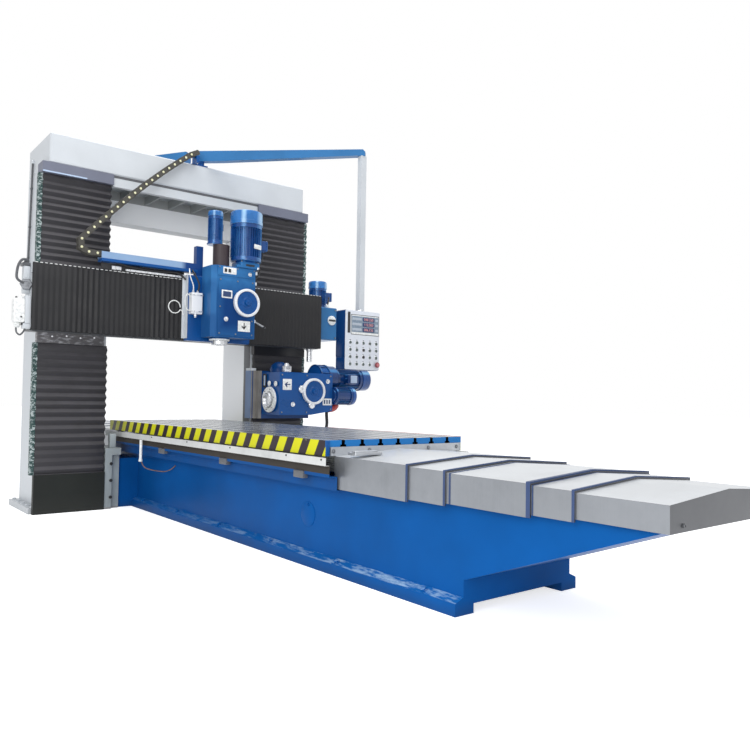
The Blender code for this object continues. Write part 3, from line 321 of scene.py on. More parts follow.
def gantry_grey():
    """The gantry's light grey enamel: painted light makes the faces that look into the opening palest, and
    painted shade dulls the undersides and the recess behind the crown's front band."""
    paint = Finish("gantry_grey", Coat_Weight=0.05, Coat_Roughness=0.1)
    place = paint.place()
    x, y, z = paint.axes(place)
    across, ahead, up = paint.axes(paint.node("ShaderNodeTexCoord", out="Normal"))
    clouds = paint.noise(place, 2.2, 4.0)
    base = paint.mix(paint.ramp(clouds, 0.3, 0.7), tone(GREY, 0.95), tone(GREY, 1.05))
    # Painted light: the right column's inner face and the rear beam's front are painted near white.
    inner = (across < -0.9) * (x > 0.8)
    base = paint.mix(inner.most((ahead < -0.9) * (y > 0.5)), base, (0.97, 0.98, 0.99, 1))
    # Painted shade: the recess behind the crown's front band and the high undersides are painted dark.
    painted_recess_shade = (y > 0.075) * (y < 0.79) * (z > 3.325) * (z < 3.426) * (abs(x) < 0.84)
    under = (up < -0.9) * (z > 2.0)
    base = paint.mix(painted_recess_shade * 0.8, base, (0.20, 0.21, 0.20, 1))
    base = paint.mix(under * 0.5, base, (0.26, 0.27, 0.27, 1))
    dirt = paint.ramp(z + 0.08 * paint.noise(place, 9.0, 5.0), 0.0, 0.22, 0.25, 0.0)
    paint.put("Base Color", paint.mix(dirt, base, (0.06, 0.06, 0.055, 1)))
    paint.put("Roughness", paint.ramp(clouds, 0.25, 0.75, 0.37, 0.51))
    paint.bump(paint.noise(place, 180.0, 2.0) * 0.6 + paint.noise(place, 14.0, 2.0), 0.0006, 0.35)
    return paint


def beam_grey():
    """The crossbeam's paint: light grey, dark brushed shoes below it, with painted glints on the left one and
    the right one painted near black as painted shade, and painted shade on the underside and just above the
    shoes.
    """
    paint = Finish("beam_grey", Specular_IOR_Level=0.3)
    place = paint.place()
    x, _, height = paint.axes(place)
    clouds = paint.noise(place, 4.0, 5.0)
    # Painted glints on the left shoe; the right shoe is painted near black as painted shade.
    painted_glint = paint.ramp(paint.noise(paint.stretched(place, (14.0, 14.0, 40.0)), 1.0, 5.0, 0.7), 0.50, 0.72)
    shoes = paint.mix(x > 0, (0.13, 0.125, 0.13, 1), (0.035, 0.035, 0.037, 1))
    shoes = paint.mix(painted_glint * (x < 0), shoes, (0.50, 0.50, 0.52, 1))
    above = paint.mix(paint.ramp(clouds, 0.3, 0.7), tone(GREY, 0.95), tone(GREY, 1.05))
    base = paint.mix(height < 1.7595, above, shoes)
    # Painted shade: the underside and a band just above the shoes are painted near black.
    under = paint.axes(paint.node("ShaderNodeTexCoord", out="Normal"))[2] < -0.9
    low = (height < 1.785) * (height > 1.7595)
    base = paint.mix(under.most(low) * (height > 1.7) * 0.9, base, (0.02, 0.02, 0.022, 1))
    paint.put("Base Color", base)
    paint.put("Roughness", paint.ramp(clouds, 0.25, 0.75, 0.34, 0.5))
    paint.bump(paint.noise(place, 160.0, 2.0), 0.0005, 0.3)
    return paint


def slide_paint():
    """The side slide: grey-blue plate by the opening, brown-grey bare way beside it, machine blue beyond."""
    paint = Finish("slide_paint", Specular_IOR_Level=0.3)
    place = paint.place()
    x = paint.axes(place)[0]
    clouds = paint.noise(place, 7.0, 5.0)
    plate = paint.mix(clouds, (0.060, 0.115, 0.240, 1), (0.170, 0.260, 0.430, 1))
    way = paint.mix(clouds, (0.150, 0.140, 0.130, 1), (0.320, 0.305, 0.285, 1))
    groove = abs(x - 0.790) < 0.006
    base = paint.mix(x > 0.769, plate, way)
    base = paint.mix(groove.most(x > 0.870), base, (0.003, 0.045, 0.170, 1))
    paint.put("Base Color", base)
    paint.put("Roughness", paint.ramp(clouds, 0.3, 0.7, 0.28, 0.42))
    paint.bump(paint.noise(place, 120.0, 2.0), 0.0005, 0.3)
    return paint


def flecked_edge():
    """The guards' worn outer hems: pale coating with dark flecks."""
    hem = Finish("flecked_hem", Specular_IOR_Level=0.3)
    place = hem.place()
    flecks = hem.ramp(hem.noise(hem.stretched(place, (1.0, 1.0, 1.8)), 30.0, 3.0, 0.7), 0.50, 0.60)
    hem.put("Base Color", hem.mix(flecks, (0.030, 0.065, 0.062, 1), (0.46, 0.53, 0.53, 1)))
    hem.put("Roughness", hem.ramp(flecks, 0.0, 1.0, 0.7, 0.45))
    hem.bump(flecks, 0.0008, 0.4)
    return hem


def folded_cloth(name, colour, dusty_and_lit):
    """Coated black cloth: a fine weave, and dust with painted light from above on the parts of the folds that
    face up.
    """
    cloth = Finish(name, Specular_IOR_Level=0.4)
    place = cloth.place()
    normal = cloth.node("ShaderNodeNewGeometry", out="Normal")
    # The upward faces of the folds are paler: dust, and painted light from above.
    upward = cloth.ramp(cloth.axes(normal)[2], 0.05, 0.8)
    patches = cloth.noise(place, 5.0, 5.0)
    dust_and_top_light = upward * cloth.ramp(patches, 0.2, 0.8, 0.35, 1.0)
    base = cloth.mix(cloth.ramp(patches, 0.3, 0.7), tone(colour, 0.8), tone(colour, 1.25))
    base = cloth.mix(dust_and_top_light, base, dusty_and_lit)
    cloth.put("Base Color", base)
    cloth.put("Roughness", cloth.ramp(patches, 0.3, 0.7, 0.5, 0.72))
    x, y, z = cloth.axes(cloth.stretched(place, (650.0, 650.0, 650.0)))
    weave = cloth.node("ShaderNodeMath", {"operation": "SINE"}, {0: x + y})
    weft = cloth.node("ShaderNodeMath", {"operation": "SINE"}, {0: z + y})
    cloth.bump(weave * weft * 0.3 + cloth.noise(place, 30.0, 3.0), 0.0012, 0.5)
    return cloth


def brushed(name, colour, streaks, roughness=0.34, metallic=0.75, blotch=0.3, wiper_polish_and_painted_light=False):
    """Brushed sheet steel: fine streaks along one way, cloudy blotches and a few darker smears. Rubbed covers
    have painted light on their roofs, where the wipers also polish them, painted shade on their sides, and
    the darkest painted shade on their end caps."""
    metal = Finish(name)
    place = metal.place()
    fine = metal.noise(metal.stretched(place, streaks), 1.0, 6.0, 0.7)
    clouds = metal.noise(place, 3.1, 6.0, 0.65)
    smears = metal.noise(metal.stretched(place, (2.0, 5.5, 4.0)), 1.0, 4.0)
    base = metal.mix(metal.ramp(clouds, 0.3, 0.7), tone(colour, 1 - blotch), tone(colour, 1 + blotch / 2))
    base = metal.mix(metal.ramp(fine, 0.35, 0.65) * 0.35, base, tone(colour, 1.25))
    base = metal.mix(metal.ramp(smears, 0.60, 0.78) * 0.45, base, tone(colour, 0.5))
    if wiper_polish_and_painted_light:
        # Painted light on the roofs, where the wipers also polish them; painted shade on the sides, and
        # darker painted shade on the end caps.
        x, y, z = metal.axes(metal.node("ShaderNodeTexCoord", out="Normal"))
        base = metal.mix(metal.ramp(z, 0.75, 0.95) * 0.75, base, (0.62, 0.64, 0.66, 1))
        base = metal.mix(metal.ramp(abs(x), 0.7, 0.9) * 0.74, base, (0.155, 0.165, 0.180, 1))
        cap = metal.ramp(abs(y), 0.7, 0.9) * (abs(metal.axes(place)[1]) > 4.0)
        base = metal.mix(cap * 0.92, base, (0.072, 0.074, 0.080, 1))
    metal.put("Base Color", base)
    metal.put("Metallic", metal.ramp(clouds, 0.3, 0.8, metallic, metallic - 0.2))
    rough = fine * 0.6 + clouds * 0.4
    metal.put("Roughness", metal.ramp(rough, 0.3, 0.7, roughness - 0.07, roughness + 0.16))
    metal.bump(fine, 0.0004, 0.4)
    return metal


def table_iron():
    """The table: ground cast iron on top, hazard stripes along both sides, blue paint across the ends."""
    iron = Finish("table_iron", Specular_IOR_Level=0.2)
    place = iron.place()
    x, y, z = iron.axes(place)
    grain = iron.noise(iron.stretched(place, (260.0, 4.0, 260.0)), 1.0, 5.0, 0.7)
    clouds = iron.noise(place, 2.3, 6.0, 0.6)
    top = iron.mix(iron.ramp(clouds, 0.3, 0.7), (0.21, 0.23, 0.25, 1), (0.36, 0.38, 0.41, 1))
    top = iron.mix(iron.ramp(grain, 0.4, 0.62) * 0.4, top, (0.54, 0.57, 0.60, 1))
    top = iron.mix(iron.ramp(iron.noise(place, 7.0, 5.0), 0.62, 0.72) * 0.5, top, (0.14, 0.13, 0.11, 1))
    # Painted shade: the slots' walls below the top are painted near black.
    painted_slot_shade = (z < TABLE_TOP - 0.002) * (z > TABLE_TOP - 0.08)
    top = iron.mix(painted_slot_shade * (abs(x) < TABLE_WIDTH / 2 - 0.03), top, (0.012, 0.012, 0.012, 1))
    phase = (y + (z - TABLE_TOP) * 0.57 - STRIPE_START) / STRIPE_PITCH
    bar = iron.ramp(abs(phase.fraction() - 0.5), 0.235, 0.245)
    wear_and_glints = iron.ramp(iron.noise(place, 22.0, 5.0, 0.7), 0.63, 0.70)
    stripes = iron.mix(bar, (0.022, 0.014, 0.021, 1), (0.62, 0.61, 0.004, 1))
    stripes = iron.mix(wear_and_glints * 0.35, stripes, (0.30, 0.30, 0.22, 1))
    side = abs(x) > TABLE_WIDTH / 2 - 0.0015
    ends = (abs(y - TABLE_MIDDLE) > TABLE_LENGTH / 2 - 0.0015) * (z > TABLE_TOP - 0.044)
    base = iron.mix(side, top, stripes)
    blue = iron.mix(clouds, (0.01, 0.13, 0.40, 1), (0.02, 0.20, 0.52, 1))
    iron.put("Base Color", iron.mix(ends, base, blue))
    plain = side.most(ends)
    iron.put("Metallic", (1 - plain) * 0.72)
    ground = iron.ramp(grain * 0.5 + clouds * 0.5, 0.3, 0.7, 0.15, 0.34)
    iron.put("Roughness", iron.node("ShaderNodeMix", None, {0: plain, 2: ground, 3: 0.4}))
    iron.bump(grain * (1 - plain), 0.0003, 0.4)
    return iron


def bed_paint():
    """The bed's deep blue enamel: soft clouds, painted light on the foot's slope with painted glints in
    streaks along it, dirt at the floor.
    """
    paint = Finish("bed_blue", Specular_IOR_Level=0.04)
    place = paint.place()
    along, height = paint.axes(place)[1:]
    clouds = paint.noise(place, 1.3, 4.0)
    base = paint.mix(paint.ramp(clouds, 0.3, 0.7), tone(BLUE, 0.82), tone(BLUE, 1.15))
    streaks = paint.noise(paint.stretched(place, (9.0, 5.0, 60.0)), 1.0, 5.0, 0.7)
    # Painted light: the foot's upward-facing slope is painted paler blue, and painted glints in streaks along
    # it grow towards the front end.
    slope = paint.ramp(height, 0.068, 0.074) * paint.ramp(height, 0.099, 0.104, 1.0, 0.0)
    upward = paint.axes(paint.node("ShaderNodeTexCoord", out="Normal"))[2] > 0.3
    slope = slope * upward
    base = paint.mix(slope * 0.5, base, (0.010, 0.150, 0.460, 1))
    wear_and_glints = slope * paint.ramp(along, -0.8, -4.0, 0.15, 1.0) * paint.ramp(streaks, 0.46, 0.60)
    base = paint.mix(wear_and_glints * 0.8, base, (0.38, 0.54, 0.70, 1))
    dirt = paint.ramp(height + 0.05 * paint.noise(place, 9.0, 5.0), 0.02, 0.10, 0.35, 0.0)
    paint.put("Base Color", paint.mix(dirt, base, (0.03, 0.04, 0.06, 1)))
    paint.put("Roughness", paint.ramp(clouds, 0.25, 0.75, 0.3, 0.45))
    paint.bump(paint.noise(place, 160.0, 2.0) * 0.6 + paint.noise(place, 6.0, 2.0), 0.0008, 0.35)
    return paint


def tray_paint():
    """The cable tray's paint: pale blue along the tray, machine blue on its post."""
    paint = Finish("tray_blue", Specular_IOR_Level=0.3)
    place = paint.place()
    clouds = paint.noise(place, 3.0, 4.0)
    pale = paint.mix(clouds, (0.185, 0.31, 0.52, 1), (0.33, 0.46, 0.64, 1))
    along = paint.ramp(paint.axes(place)[0], -0.20, -0.14)
    paint.put("Base Color", paint.mix(along, pale, (0.003, 0.045, 0.20, 1)))
    paint.put("Roughness", paint.ramp(clouds, 0.3, 0.7, 0.3, 0.42))
    paint.bump(paint.noise(place, 120.0, 2.0), 0.0005, 0.3)
    return paint


def banded(name, levels, gloss=0.25):
    """Paint that changes with height: each level is (upper height, colour), lowest first."""
    paint = Finish(name, Specular_IOR_Level=gloss)
    place = paint.place()
    height = paint.axes(place)[2]
    clouds = paint.noise(place, 5.0, 5.0)
    base = levels[-1][1]
    for upper, colour in reversed(levels[:-1]):
        base = paint.mix(height < upper, base, colour)
    dull = paint.ramp(clouds, 0.3, 0.75, 0.0, 0.24)
    paint.put("Base Color", paint.mix(dull, base, (0.05, 0.05, 0.05, 1)))
    paint.put("Roughness", paint.ramp(clouds, 0.3, 0.7, 0.39, 0.55))
    paint.bump(paint.noise(place, 120.0, 2.0), 0.0005, 0.3)
    return paint


def plain_finish(name, colour, roughness=0.5, metallic=0.0, vary=0.2):
    """A small part's finish: the colour with faint clouds and a fine grain."""
    finish = Finish(name, Metallic=metallic)
    place = finish.place()
    clouds = finish.noise(place, 40.0, 4.0)
    base = finish.mix(finish.ramp(clouds, 0.3, 0.7), tone(colour, 1 - vary), tone(colour, 1 + vary))
    finish.put("Base Color", base)
    finish.put("Roughness", finish.ramp(clouds, 0.3, 0.7, roughness - 0.08, roughness + 0.08))
    finish.bump(finish.noise(place, 320.0, 2.0), 0.0003, 0.3)
    return finish


# Shapes. A shape is a pair (points, faces); several shapes make one piece.


def outward(points, faces):
    """The faces of a closed shape, turned so that its signed volume is positive."""
    total = 0.0
    for size in sorted({len(face) for face in faces}):
        group = np.array([face for face in faces if len(face) == size])
        for step in range(1, size - 1):
            a, b, c = points[group[:, 0]], points[group[:, step]], points[group[:, step + 1]]
            total += np.einsum("ij,ij->", a, np.cross(b, c))
    return faces if total > 0 else [tuple(reversed(face)) for face in faces]


def loft(rings, joined=False):
    """Rings of points, row by row, with quads between neighbours; the ends are capped unless joined."""
    rings = np.asarray(rings, float)
    rows, around = rings.shape[:2]
    row = np.arange(rows if joined else rows - 1)[:, None]
    column = np.arange(around)[None, :]
    after = (row + 1) % rows
    beside = (column + 1) % around
    quads = np.stack([row * around + column, row * around + beside,
                      after * around + beside, after * around + column], axis=-1)
    faces = [tuple(face) for face in quads.reshape(-1, 4).tolist()]
    if not joined:
        faces.append(tuple(reversed(range(around))))
        faces.append(tuple(range((rows - 1) * around, rows * around)))
    points = rings.reshape(-1, 3)
    return points, outward(points, faces)


def rounded(width, depth, radius):
    """A rectangle's outline with its corners rounded: quarter circles moved out to the four corners."""
    radius = min(radius, width / 2, depth / 2)
    angles = np.linspace(0, math.pi / 2, 4)
    outline = []
    for turn, (side, end) in enumerate(((1, 1), (-1, 1), (-1, -1), (1, -1))):
        angle = angles + turn * math.pi / 2
        across = side * (width / 2 - radius) + radius * np.cos(angle)
        along = end * (depth / 2 - radius) + radius * np.sin(angle)
        outline.append(np.stack([across, along], axis=1))
    return np.concatenate(outline)


def basis(axis):
    """Two unit vectors across an axis."""
    axis = np.asarray(axis, float)
    axis = axis / np.linalg.norm(axis)
    guide = np.array([0.0, 0.0, 1.0]) if abs(axis[2]) < 0.9 else np.array([0.0, 1.0, 0.0])
    first = np.cross(guide, axis)
    first = first / np.linalg.norm(first)
    return first, np.cross(axis, first)


def slab(x, y, z, edge=0.003, corner=None):
    """A block between two values on each axis: rounded rectangles stacked along its thinnest axis,
    drawn in by the edge at both ends."""
    low = np.array([x[0], y[0], z[0]], float)
    high = np.array([x[1], y[1], z[1]], float)
    size = high - low
    axis = int(np.argmin(size))
    across, along = [index for index in range(3) if index != axis]
    corner = edge if corner is None else corner
    edge = min(edge, size[axis] / 2.1)
    rings = []
    for height, inset in ((0, edge), (0.3 * edge, 0.3 * edge), (edge, 0),
                          (size[axis] - edge, 0), (size[axis] - 0.3 * edge, 0.3 * edge), (size[axis], edge)):
        radius = max(corner - inset, 0.0004)
        outline = rounded(size[across] - 2 * inset, size[along] - 2 * inset, radius)
        ring = np.zeros((len(outline), 3))
        ring[:, across] = outline[:, 0] + (low[across] + high[across]) / 2
        ring[:, along] = outline[:, 1] + (low[along] + high[along]) / 2
        ring[:, axis] = low[axis] + height
        rings.append(ring)
    return loft(rings)


def turned(profile, foot, axis, sides=32, joined=False):
    """A profile of (distance along, radius) turned about an axis from its foot; its ends are capped, or
    joined where it closes on itself."""
    foot, axis = np.asarray(foot, float), np.asarray(axis, float)
    first, second = basis(axis)
    angle = np.linspace(0, 2 * math.pi, sides, endpoint=False)
    circle = np.cos(angle)[:, None] * first + np.sin(angle)[:, None] * second
    return loft([foot + axis * along + max(radius, 0.0002) * circle for along, radius in profile], joined)


def smooth_path(points, steps=6):
    """A Catmull-Rom curve through the points."""
    points = np.asarray(points, float)
    padded = np.vstack([2 * points[0] - points[1], points, 2 * points[-1] - points[-2]])
    share = np.linspace(0, 1, steps, endpoint=False)[:, None]
    parts = []
    for index in range(len(points) - 1):
        a, b, c, d = padded[index:index + 4]
        parts.append(0.5 * (2 * b + (c - a) * share + (2 * a - 5 * b + 4 * c - d) * share ** 2
                            + (3 * b - a - 3 * c + d) * share ** 3))
    return np.vstack(parts + [points[-1:]])


def carried(outline, path):
    """An outline (n x 2) carried along a path; each ring turns as little as it can from the one before."""
    path = np.asarray(path, float)
    along = np.gradient(path, axis=0)
    along = along / np.linalg.norm(along, axis=1)[:, None]
    first = basis(along[0])[0]
    rings = []
    for place, ahead in zip(path, along):
        first = first - ahead * np.dot(first, ahead)
        first = first / np.linalg.norm(first)
        second = np.cross(ahead, first)
        rings.append(place + outline[:, :1] * first + outline[:, 1:] * second)
    return loft(rings)


def tube(points, radius, sides=10, steps=6):
    """A round hose or pipe through the points."""
    angle = np.linspace(0, 2 * math.pi, sides, endpoint=False)
    circle = radius * np.stack([np.cos(angle), np.sin(angle)], axis=1)
    return carried(circle, smooth_path(points, steps))


def band(outline, low, high, axis, edge=0.002):
    """A flat outline given thickness along an axis, drawn in a little towards its middle at both faces."""
    outline = np.asarray(outline, float)
    before = outline - np.roll(outline, 1, axis=0)
    after = np.roll(outline, -1, axis=0) - outline
    normals = [np.stack([step[:, 1], -step[:, 0]], axis=1) / np.linalg.norm(step, axis=1)[:, None]
               for step in (before, after)]
    lean = normals[0] + normals[1]
    lean = lean / np.maximum((lean * normals[0]).sum(axis=1), 0.3)[:, None]
    turn = np.roll(outline, -1, axis=0)
    area = (outline[:, 0] * turn[:, 1] - outline[:, 1] * turn[:, 0]).sum()
    lean = lean if area > 0 else -lean
    others = [index for index in range(3) if index != axis]
    rings = []
    for height, inset in ((low, edge), (low + edge, 0), (high - edge, 0), (high, edge)):
        ring = np.zeros((len(outline), 3))
        ring[:, others] = outline - inset * lean
        ring[:, axis] = height
        rings.append(ring)
    return loft(rings)


def moved(shape, turn=None, shift=(0, 0, 0)):
    """A shape turned by a 3 x 3 matrix and then shifted."""
    points, faces = shape
    if turn is not None:
        points = points @ np.asarray(turn, float).T
    return points + np.asarray(shift, float), faces


def screw(centre, axis, radius):
    """A cap screw with a hexagonal hole: a turned head, hollow in the middle."""
    height = 0.9 * radius
    hole = 0.5 * radius
    profile = [(-0.001, 0.9 * radius), (0.75 * height, radius), (height, 0.86 * radius), (height, hole)]
    profile += [(0.45 * height, hole), (0.4 * height, 0.05 * hole)]
    return turned(profile, centre, axis, sides=12)


def hex_bolt(centre, axis, radius):
    """A hexagon head on its washer."""
    washer = turned([(0, 1.35 * radius), (0.22 * radius, 1.35 * radius)], centre, axis, 20)
    head = turned([(0.2 * radius, radius), (0.75 * radius, radius), (0.9 * radius, 0.84 * radius)], centre,
                  axis, 6)
    return [washer, head]


def letters(text, size, centre):
    """Raised figures on a face towards -Y: a text outline made a mesh, then put in its place."""
    curve = bpy.data.curves.new("figures", "FONT")
    curve.body = text
    curve.size = size
    curve.extrude = 0.0008
    curve.align_x = "CENTER"
    curve.align_y = "CENTER"
    item = bpy.data.objects.new("figures", curve)
    bpy.context.scene.collection.objects.link(item)
    bpy.context.view_layer.update()
    ready = item.evaluated_get(bpy.context.evaluated_depsgraph_get())
    mesh = bpy.data.meshes.new_from_object(ready)
    bpy.data.objects.remove(item, do_unlink=True)
    flat = np.zeros(3 * len(mesh.vertices))
    mesh.vertices.foreach_get("co", flat)
    flat = flat.reshape(-1, 3)
    points = np.asarray(centre, float) + np.stack([flat[:, 0], -flat[:, 2], flat[:, 1]], axis=1)
    faces = [tuple(face.vertices) for face in mesh.polygons]
    bpy.data.meshes.remove(mesh)
    return points, faces


def piece(name, shapes, finish, body=None, slot=None, smooth=35):
    """One object from one or more shapes, riding on a body when one is given."""
    if not isinstance(shapes, list):
        shapes = [shapes]
    points, faces, start = [], [], 0
    for shape_points, shape_faces in shapes:
        points.append(shape_points)
        faces += [tuple(corner + start for corner in face) for face in shape_faces]
        start += len(shape_points)
    mesh = bpy.data.meshes.new(name)
    mesh.from_pydata(np.concatenate(points), [], faces)
    mesh.polygons.foreach_set("use_smooth", [True] * len(mesh.polygons))
    mesh.set_sharp_from_angle(angle=math.radians(smooth))
    mesh.materials.append(finish.material)
    item = bpy.data.objects.new(name, mesh)
    bpy.context.scene.collection.objects.link(item)
    slot = slot or finish.slot
    if body:
        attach(item, body)
    return item


# Finishes
MACHINE_BLUE = enamel("machine_blue", (0.003, 0.070, 0.265), 0.30, 0.05, gloss=0.25)
BED_BLUE = bed_paint()
HEAD_BLUE = head_enamel()
# The motors' finishes carry painted highlights.
MOTOR_BLUE = motor_enamel("motor_blue", (0.003, 0.055, 0.225), (0.060, 0.24, 0.54))
COVER_BLUE = motor_enamel("fan_cover_blue", (0.020, 0.145, 0.42), (0.34, 0.56, 0.80))
NAVY = motor_enamel("navy_blue", (0.002, 0.034, 0.150), (0.030, 0.19, 0.46), False)
NAVY_COVER = motor_enamel("navy_cover_blue", (0.003, 0.060, 0.250), (0.18, 0.45, 0.75), False)
DEEP_BLUE = enamel("deep_blue", (0.002, 0.032, 0.130), 0.28, 0.05, gloss=0.12)
BOOM_BLUE = enamel("boom_blue", (0.022, 0.150, 0.365), 0.32, 0.1, gloss=0.3)
PALE_BLUE = enamel("pale_blue", (0.42, 0.53, 0.70), 0.4, 0.05)
LIGHT_GREY = enamel("light_grey", GREY, 0.42, 0.05, 0.05, grime=0.25)
SLATE = enamel("slate_grey", (0.146, 0.158, 0.212), 0.5, 0.02, 0.1)
DARK_STEEL = enamel("dark_steel", (0.10, 0.105, 0.115), 0.45, 0.0, 0.2)
STRIP_BLUE = enamel("strip_blue", (0.040, 0.066, 0.150), 0.45, 0.0, 0.1, gloss=0.2)
WHITE = enamel("white_paint", (0.80, 0.81, 0.83), 0.35, 0.2, 0.04)
BLACK_CLOTH = folded_cloth("black_fabric", (0.026, 0.025, 0.029), (0.098, 0.094, 0.104, 1))
# The crossbeam's guards take a darker copy of the black cloth: painted shade.
BEAM_CLOTH = folded_cloth("beam_fabric", (0.0095, 0.0095, 0.011), (0.04, 0.04, 0.045, 1))
HEM = flecked_edge()
BLACK_PAINT = enamel("black_cover", (0.010, 0.012, 0.0105), 0.55, 0.0, 0.3, grime=0.2, gloss=0.25)
SLEEVE_BLACK = enamel("sleeve_black", (0.050, 0.038, 0.042), 0.45, 0.0, gloss=0.3)
SHEET_STEEL = brushed("sheet_steel", (0.46, 0.48, 0.51), (3.0, 160.0, 3.0), wiper_polish_and_painted_light=True)
BRIGHT_STEEL = brushed("bright_steel", (0.62, 0.63, 0.65), (40.0, 40.0, 40.0), 0.22, 0.9, 0.12)
TABLE_IRON = table_iron()
CHAIN_PLASTIC = plain_finish("chain_plastic", (0.05, 0.047, 0.04), 0.6)
PALE_PLASTIC = plain_finish("pale_plastic", (0.72, 0.70, 0.45), 0.5)
RUBBER = plain_finish("rubber", (0.018, 0.018, 0.02), 0.55)
SCREW_STEEL = plain_finish("screw_steel", (0.24, 0.25, 0.27), 0.35, 0.8)
SILVER = plain_finish("silver", (0.66, 0.67, 0.69), 0.3, 0.7)
PALE_PLATE = plain_finish("pale_plate", (0.80, 0.81, 0.80), 0.4)
PANEL_WHITE = plain_finish("panel_white", (0.66, 0.69, 0.75), 0.45, vary=0.04)
SCREEN_GREY = plain_finish("screen_grey", (0.20, 0.26, 0.33), 0.25, vary=0.06)
SCREEN_BAR = plain_finish("screen_bar", (0.40, 0.45, 0.52), 0.4, vary=0.05)
SCREEN_PINK = plain_finish("screen_pink", (0.74, 0.36, 0.34), 0.4, vary=0.1)
BUTTON_GREEN = plain_finish("button_green", (0.060, 0.085, 0.080), 0.4)
RED = plain_finish("red", (0.36, 0.045, 0.040), 0.45, vary=0.1)
STOP_RED = plain_finish("stop_red", (0.20, 0.030, 0.045), 0.4, vary=0.1)
STOP_PINK = plain_finish("stop_pink", (0.52, 0.17, 0.19), 0.4, vary=0.1)
COPPER = plain_finish("copper_brown", (0.16, 0.09, 0.07), 0.5)
BLOCK_GREY = banded("block_grey", [(0.02, (0.3, 0.3, 0.3, 1)), (1.0, (0.33, 0.37, 0.38, 1))])

FINISHES = {"machine_blue": MACHINE_BLUE, "light_grey": LIGHT_GREY, "slate_grey": SLATE,
            "black_fabric": BLACK_CLOTH, "black_cover": BLACK_PAINT, "chain_plastic": CHAIN_PLASTIC,
            "cast_iron": TABLE_IRON, "sheet_steel": SHEET_STEEL, "bright_steel": BRIGHT_STEEL,
            "white_paint": WHITE}

USUAL_SLOTS = {
    "machine_blue": (MACHINE_BLUE, BED_BLUE, HEAD_BLUE, MOTOR_BLUE, COVER_BLUE, NAVY, NAVY_COVER, DEEP_BLUE),
    "light_grey": (LIGHT_GREY,), "slate_grey": (BLOCK_GREY, DARK_STEEL, STRIP_BLUE),
    "black_fabric": (BLACK_CLOTH, BEAM_CLOTH, HEM), "chain_plastic": (CHAIN_PLASTIC, PALE_PLASTIC),
    "black_cover": (RUBBER, RED, COPPER, SCREEN_GREY, SCREEN_PINK, BUTTON_GREEN, STOP_RED, STOP_PINK),
    "sheet_steel": (SHEET_STEEL,), "bright_steel": (SCREW_STEEL, SILVER, BRIGHT_STEEL),
    "white_paint": (PALE_PLATE, WHITE, PANEL_WHITE, SCREEN_BAR, PALE_BLUE)}
for usual_slot, its_finishes in USUAL_SLOTS.items():
    for each_finish in its_finishes:
        each_finish.slot = usual_slot

TRAY_BLUE = tray_paint()
# The gutter by height: bed blue at its foot, a dark brown band of painted shadow under the lip, and a pale
# lip.
CHANNEL = banded("channel_paint", [(0.672, tone(BLUE, 0.9)), (0.7275, (0.050, 0.044, 0.038, 1)),
                                   (1.0, (0.66, 0.67, 0.66, 1))], gloss=0.06)
BEAM_GREY = beam_grey()
GANTRY = gantry_grey()
OWN = {"bed": BED_BLUE, "column_left": GANTRY, "column_right": GANTRY, "tie_frame": GANTRY,
       "crown_beam": GANTRY, "vertical_head": HEAD_BLUE, "side_slide": slide_paint(),
       "gutter_left": CHANNEL, "gutter_right": CHANNEL, "tie_block_left": BLOCK_GREY,
       "tie_block_right": BLOCK_GREY, "drawbar_sleeve": SLEEVE_BLACK, "pendant_boom": BOOM_BLUE,
       "cable_duct": BOOM_BLUE, "feed_gearbox": BOOM_BLUE}


def paint_solids():
    """Each solid that stays in view takes the finish of its slot, or its own where it has one."""
    for part in frame["record"]["subparts"]:
        item = NODES[part["node"]]
        item.data.materials.clear()
        item.data.materials.append(OWN.get(part["node"], FINISHES[part["material_slot"]]).material)


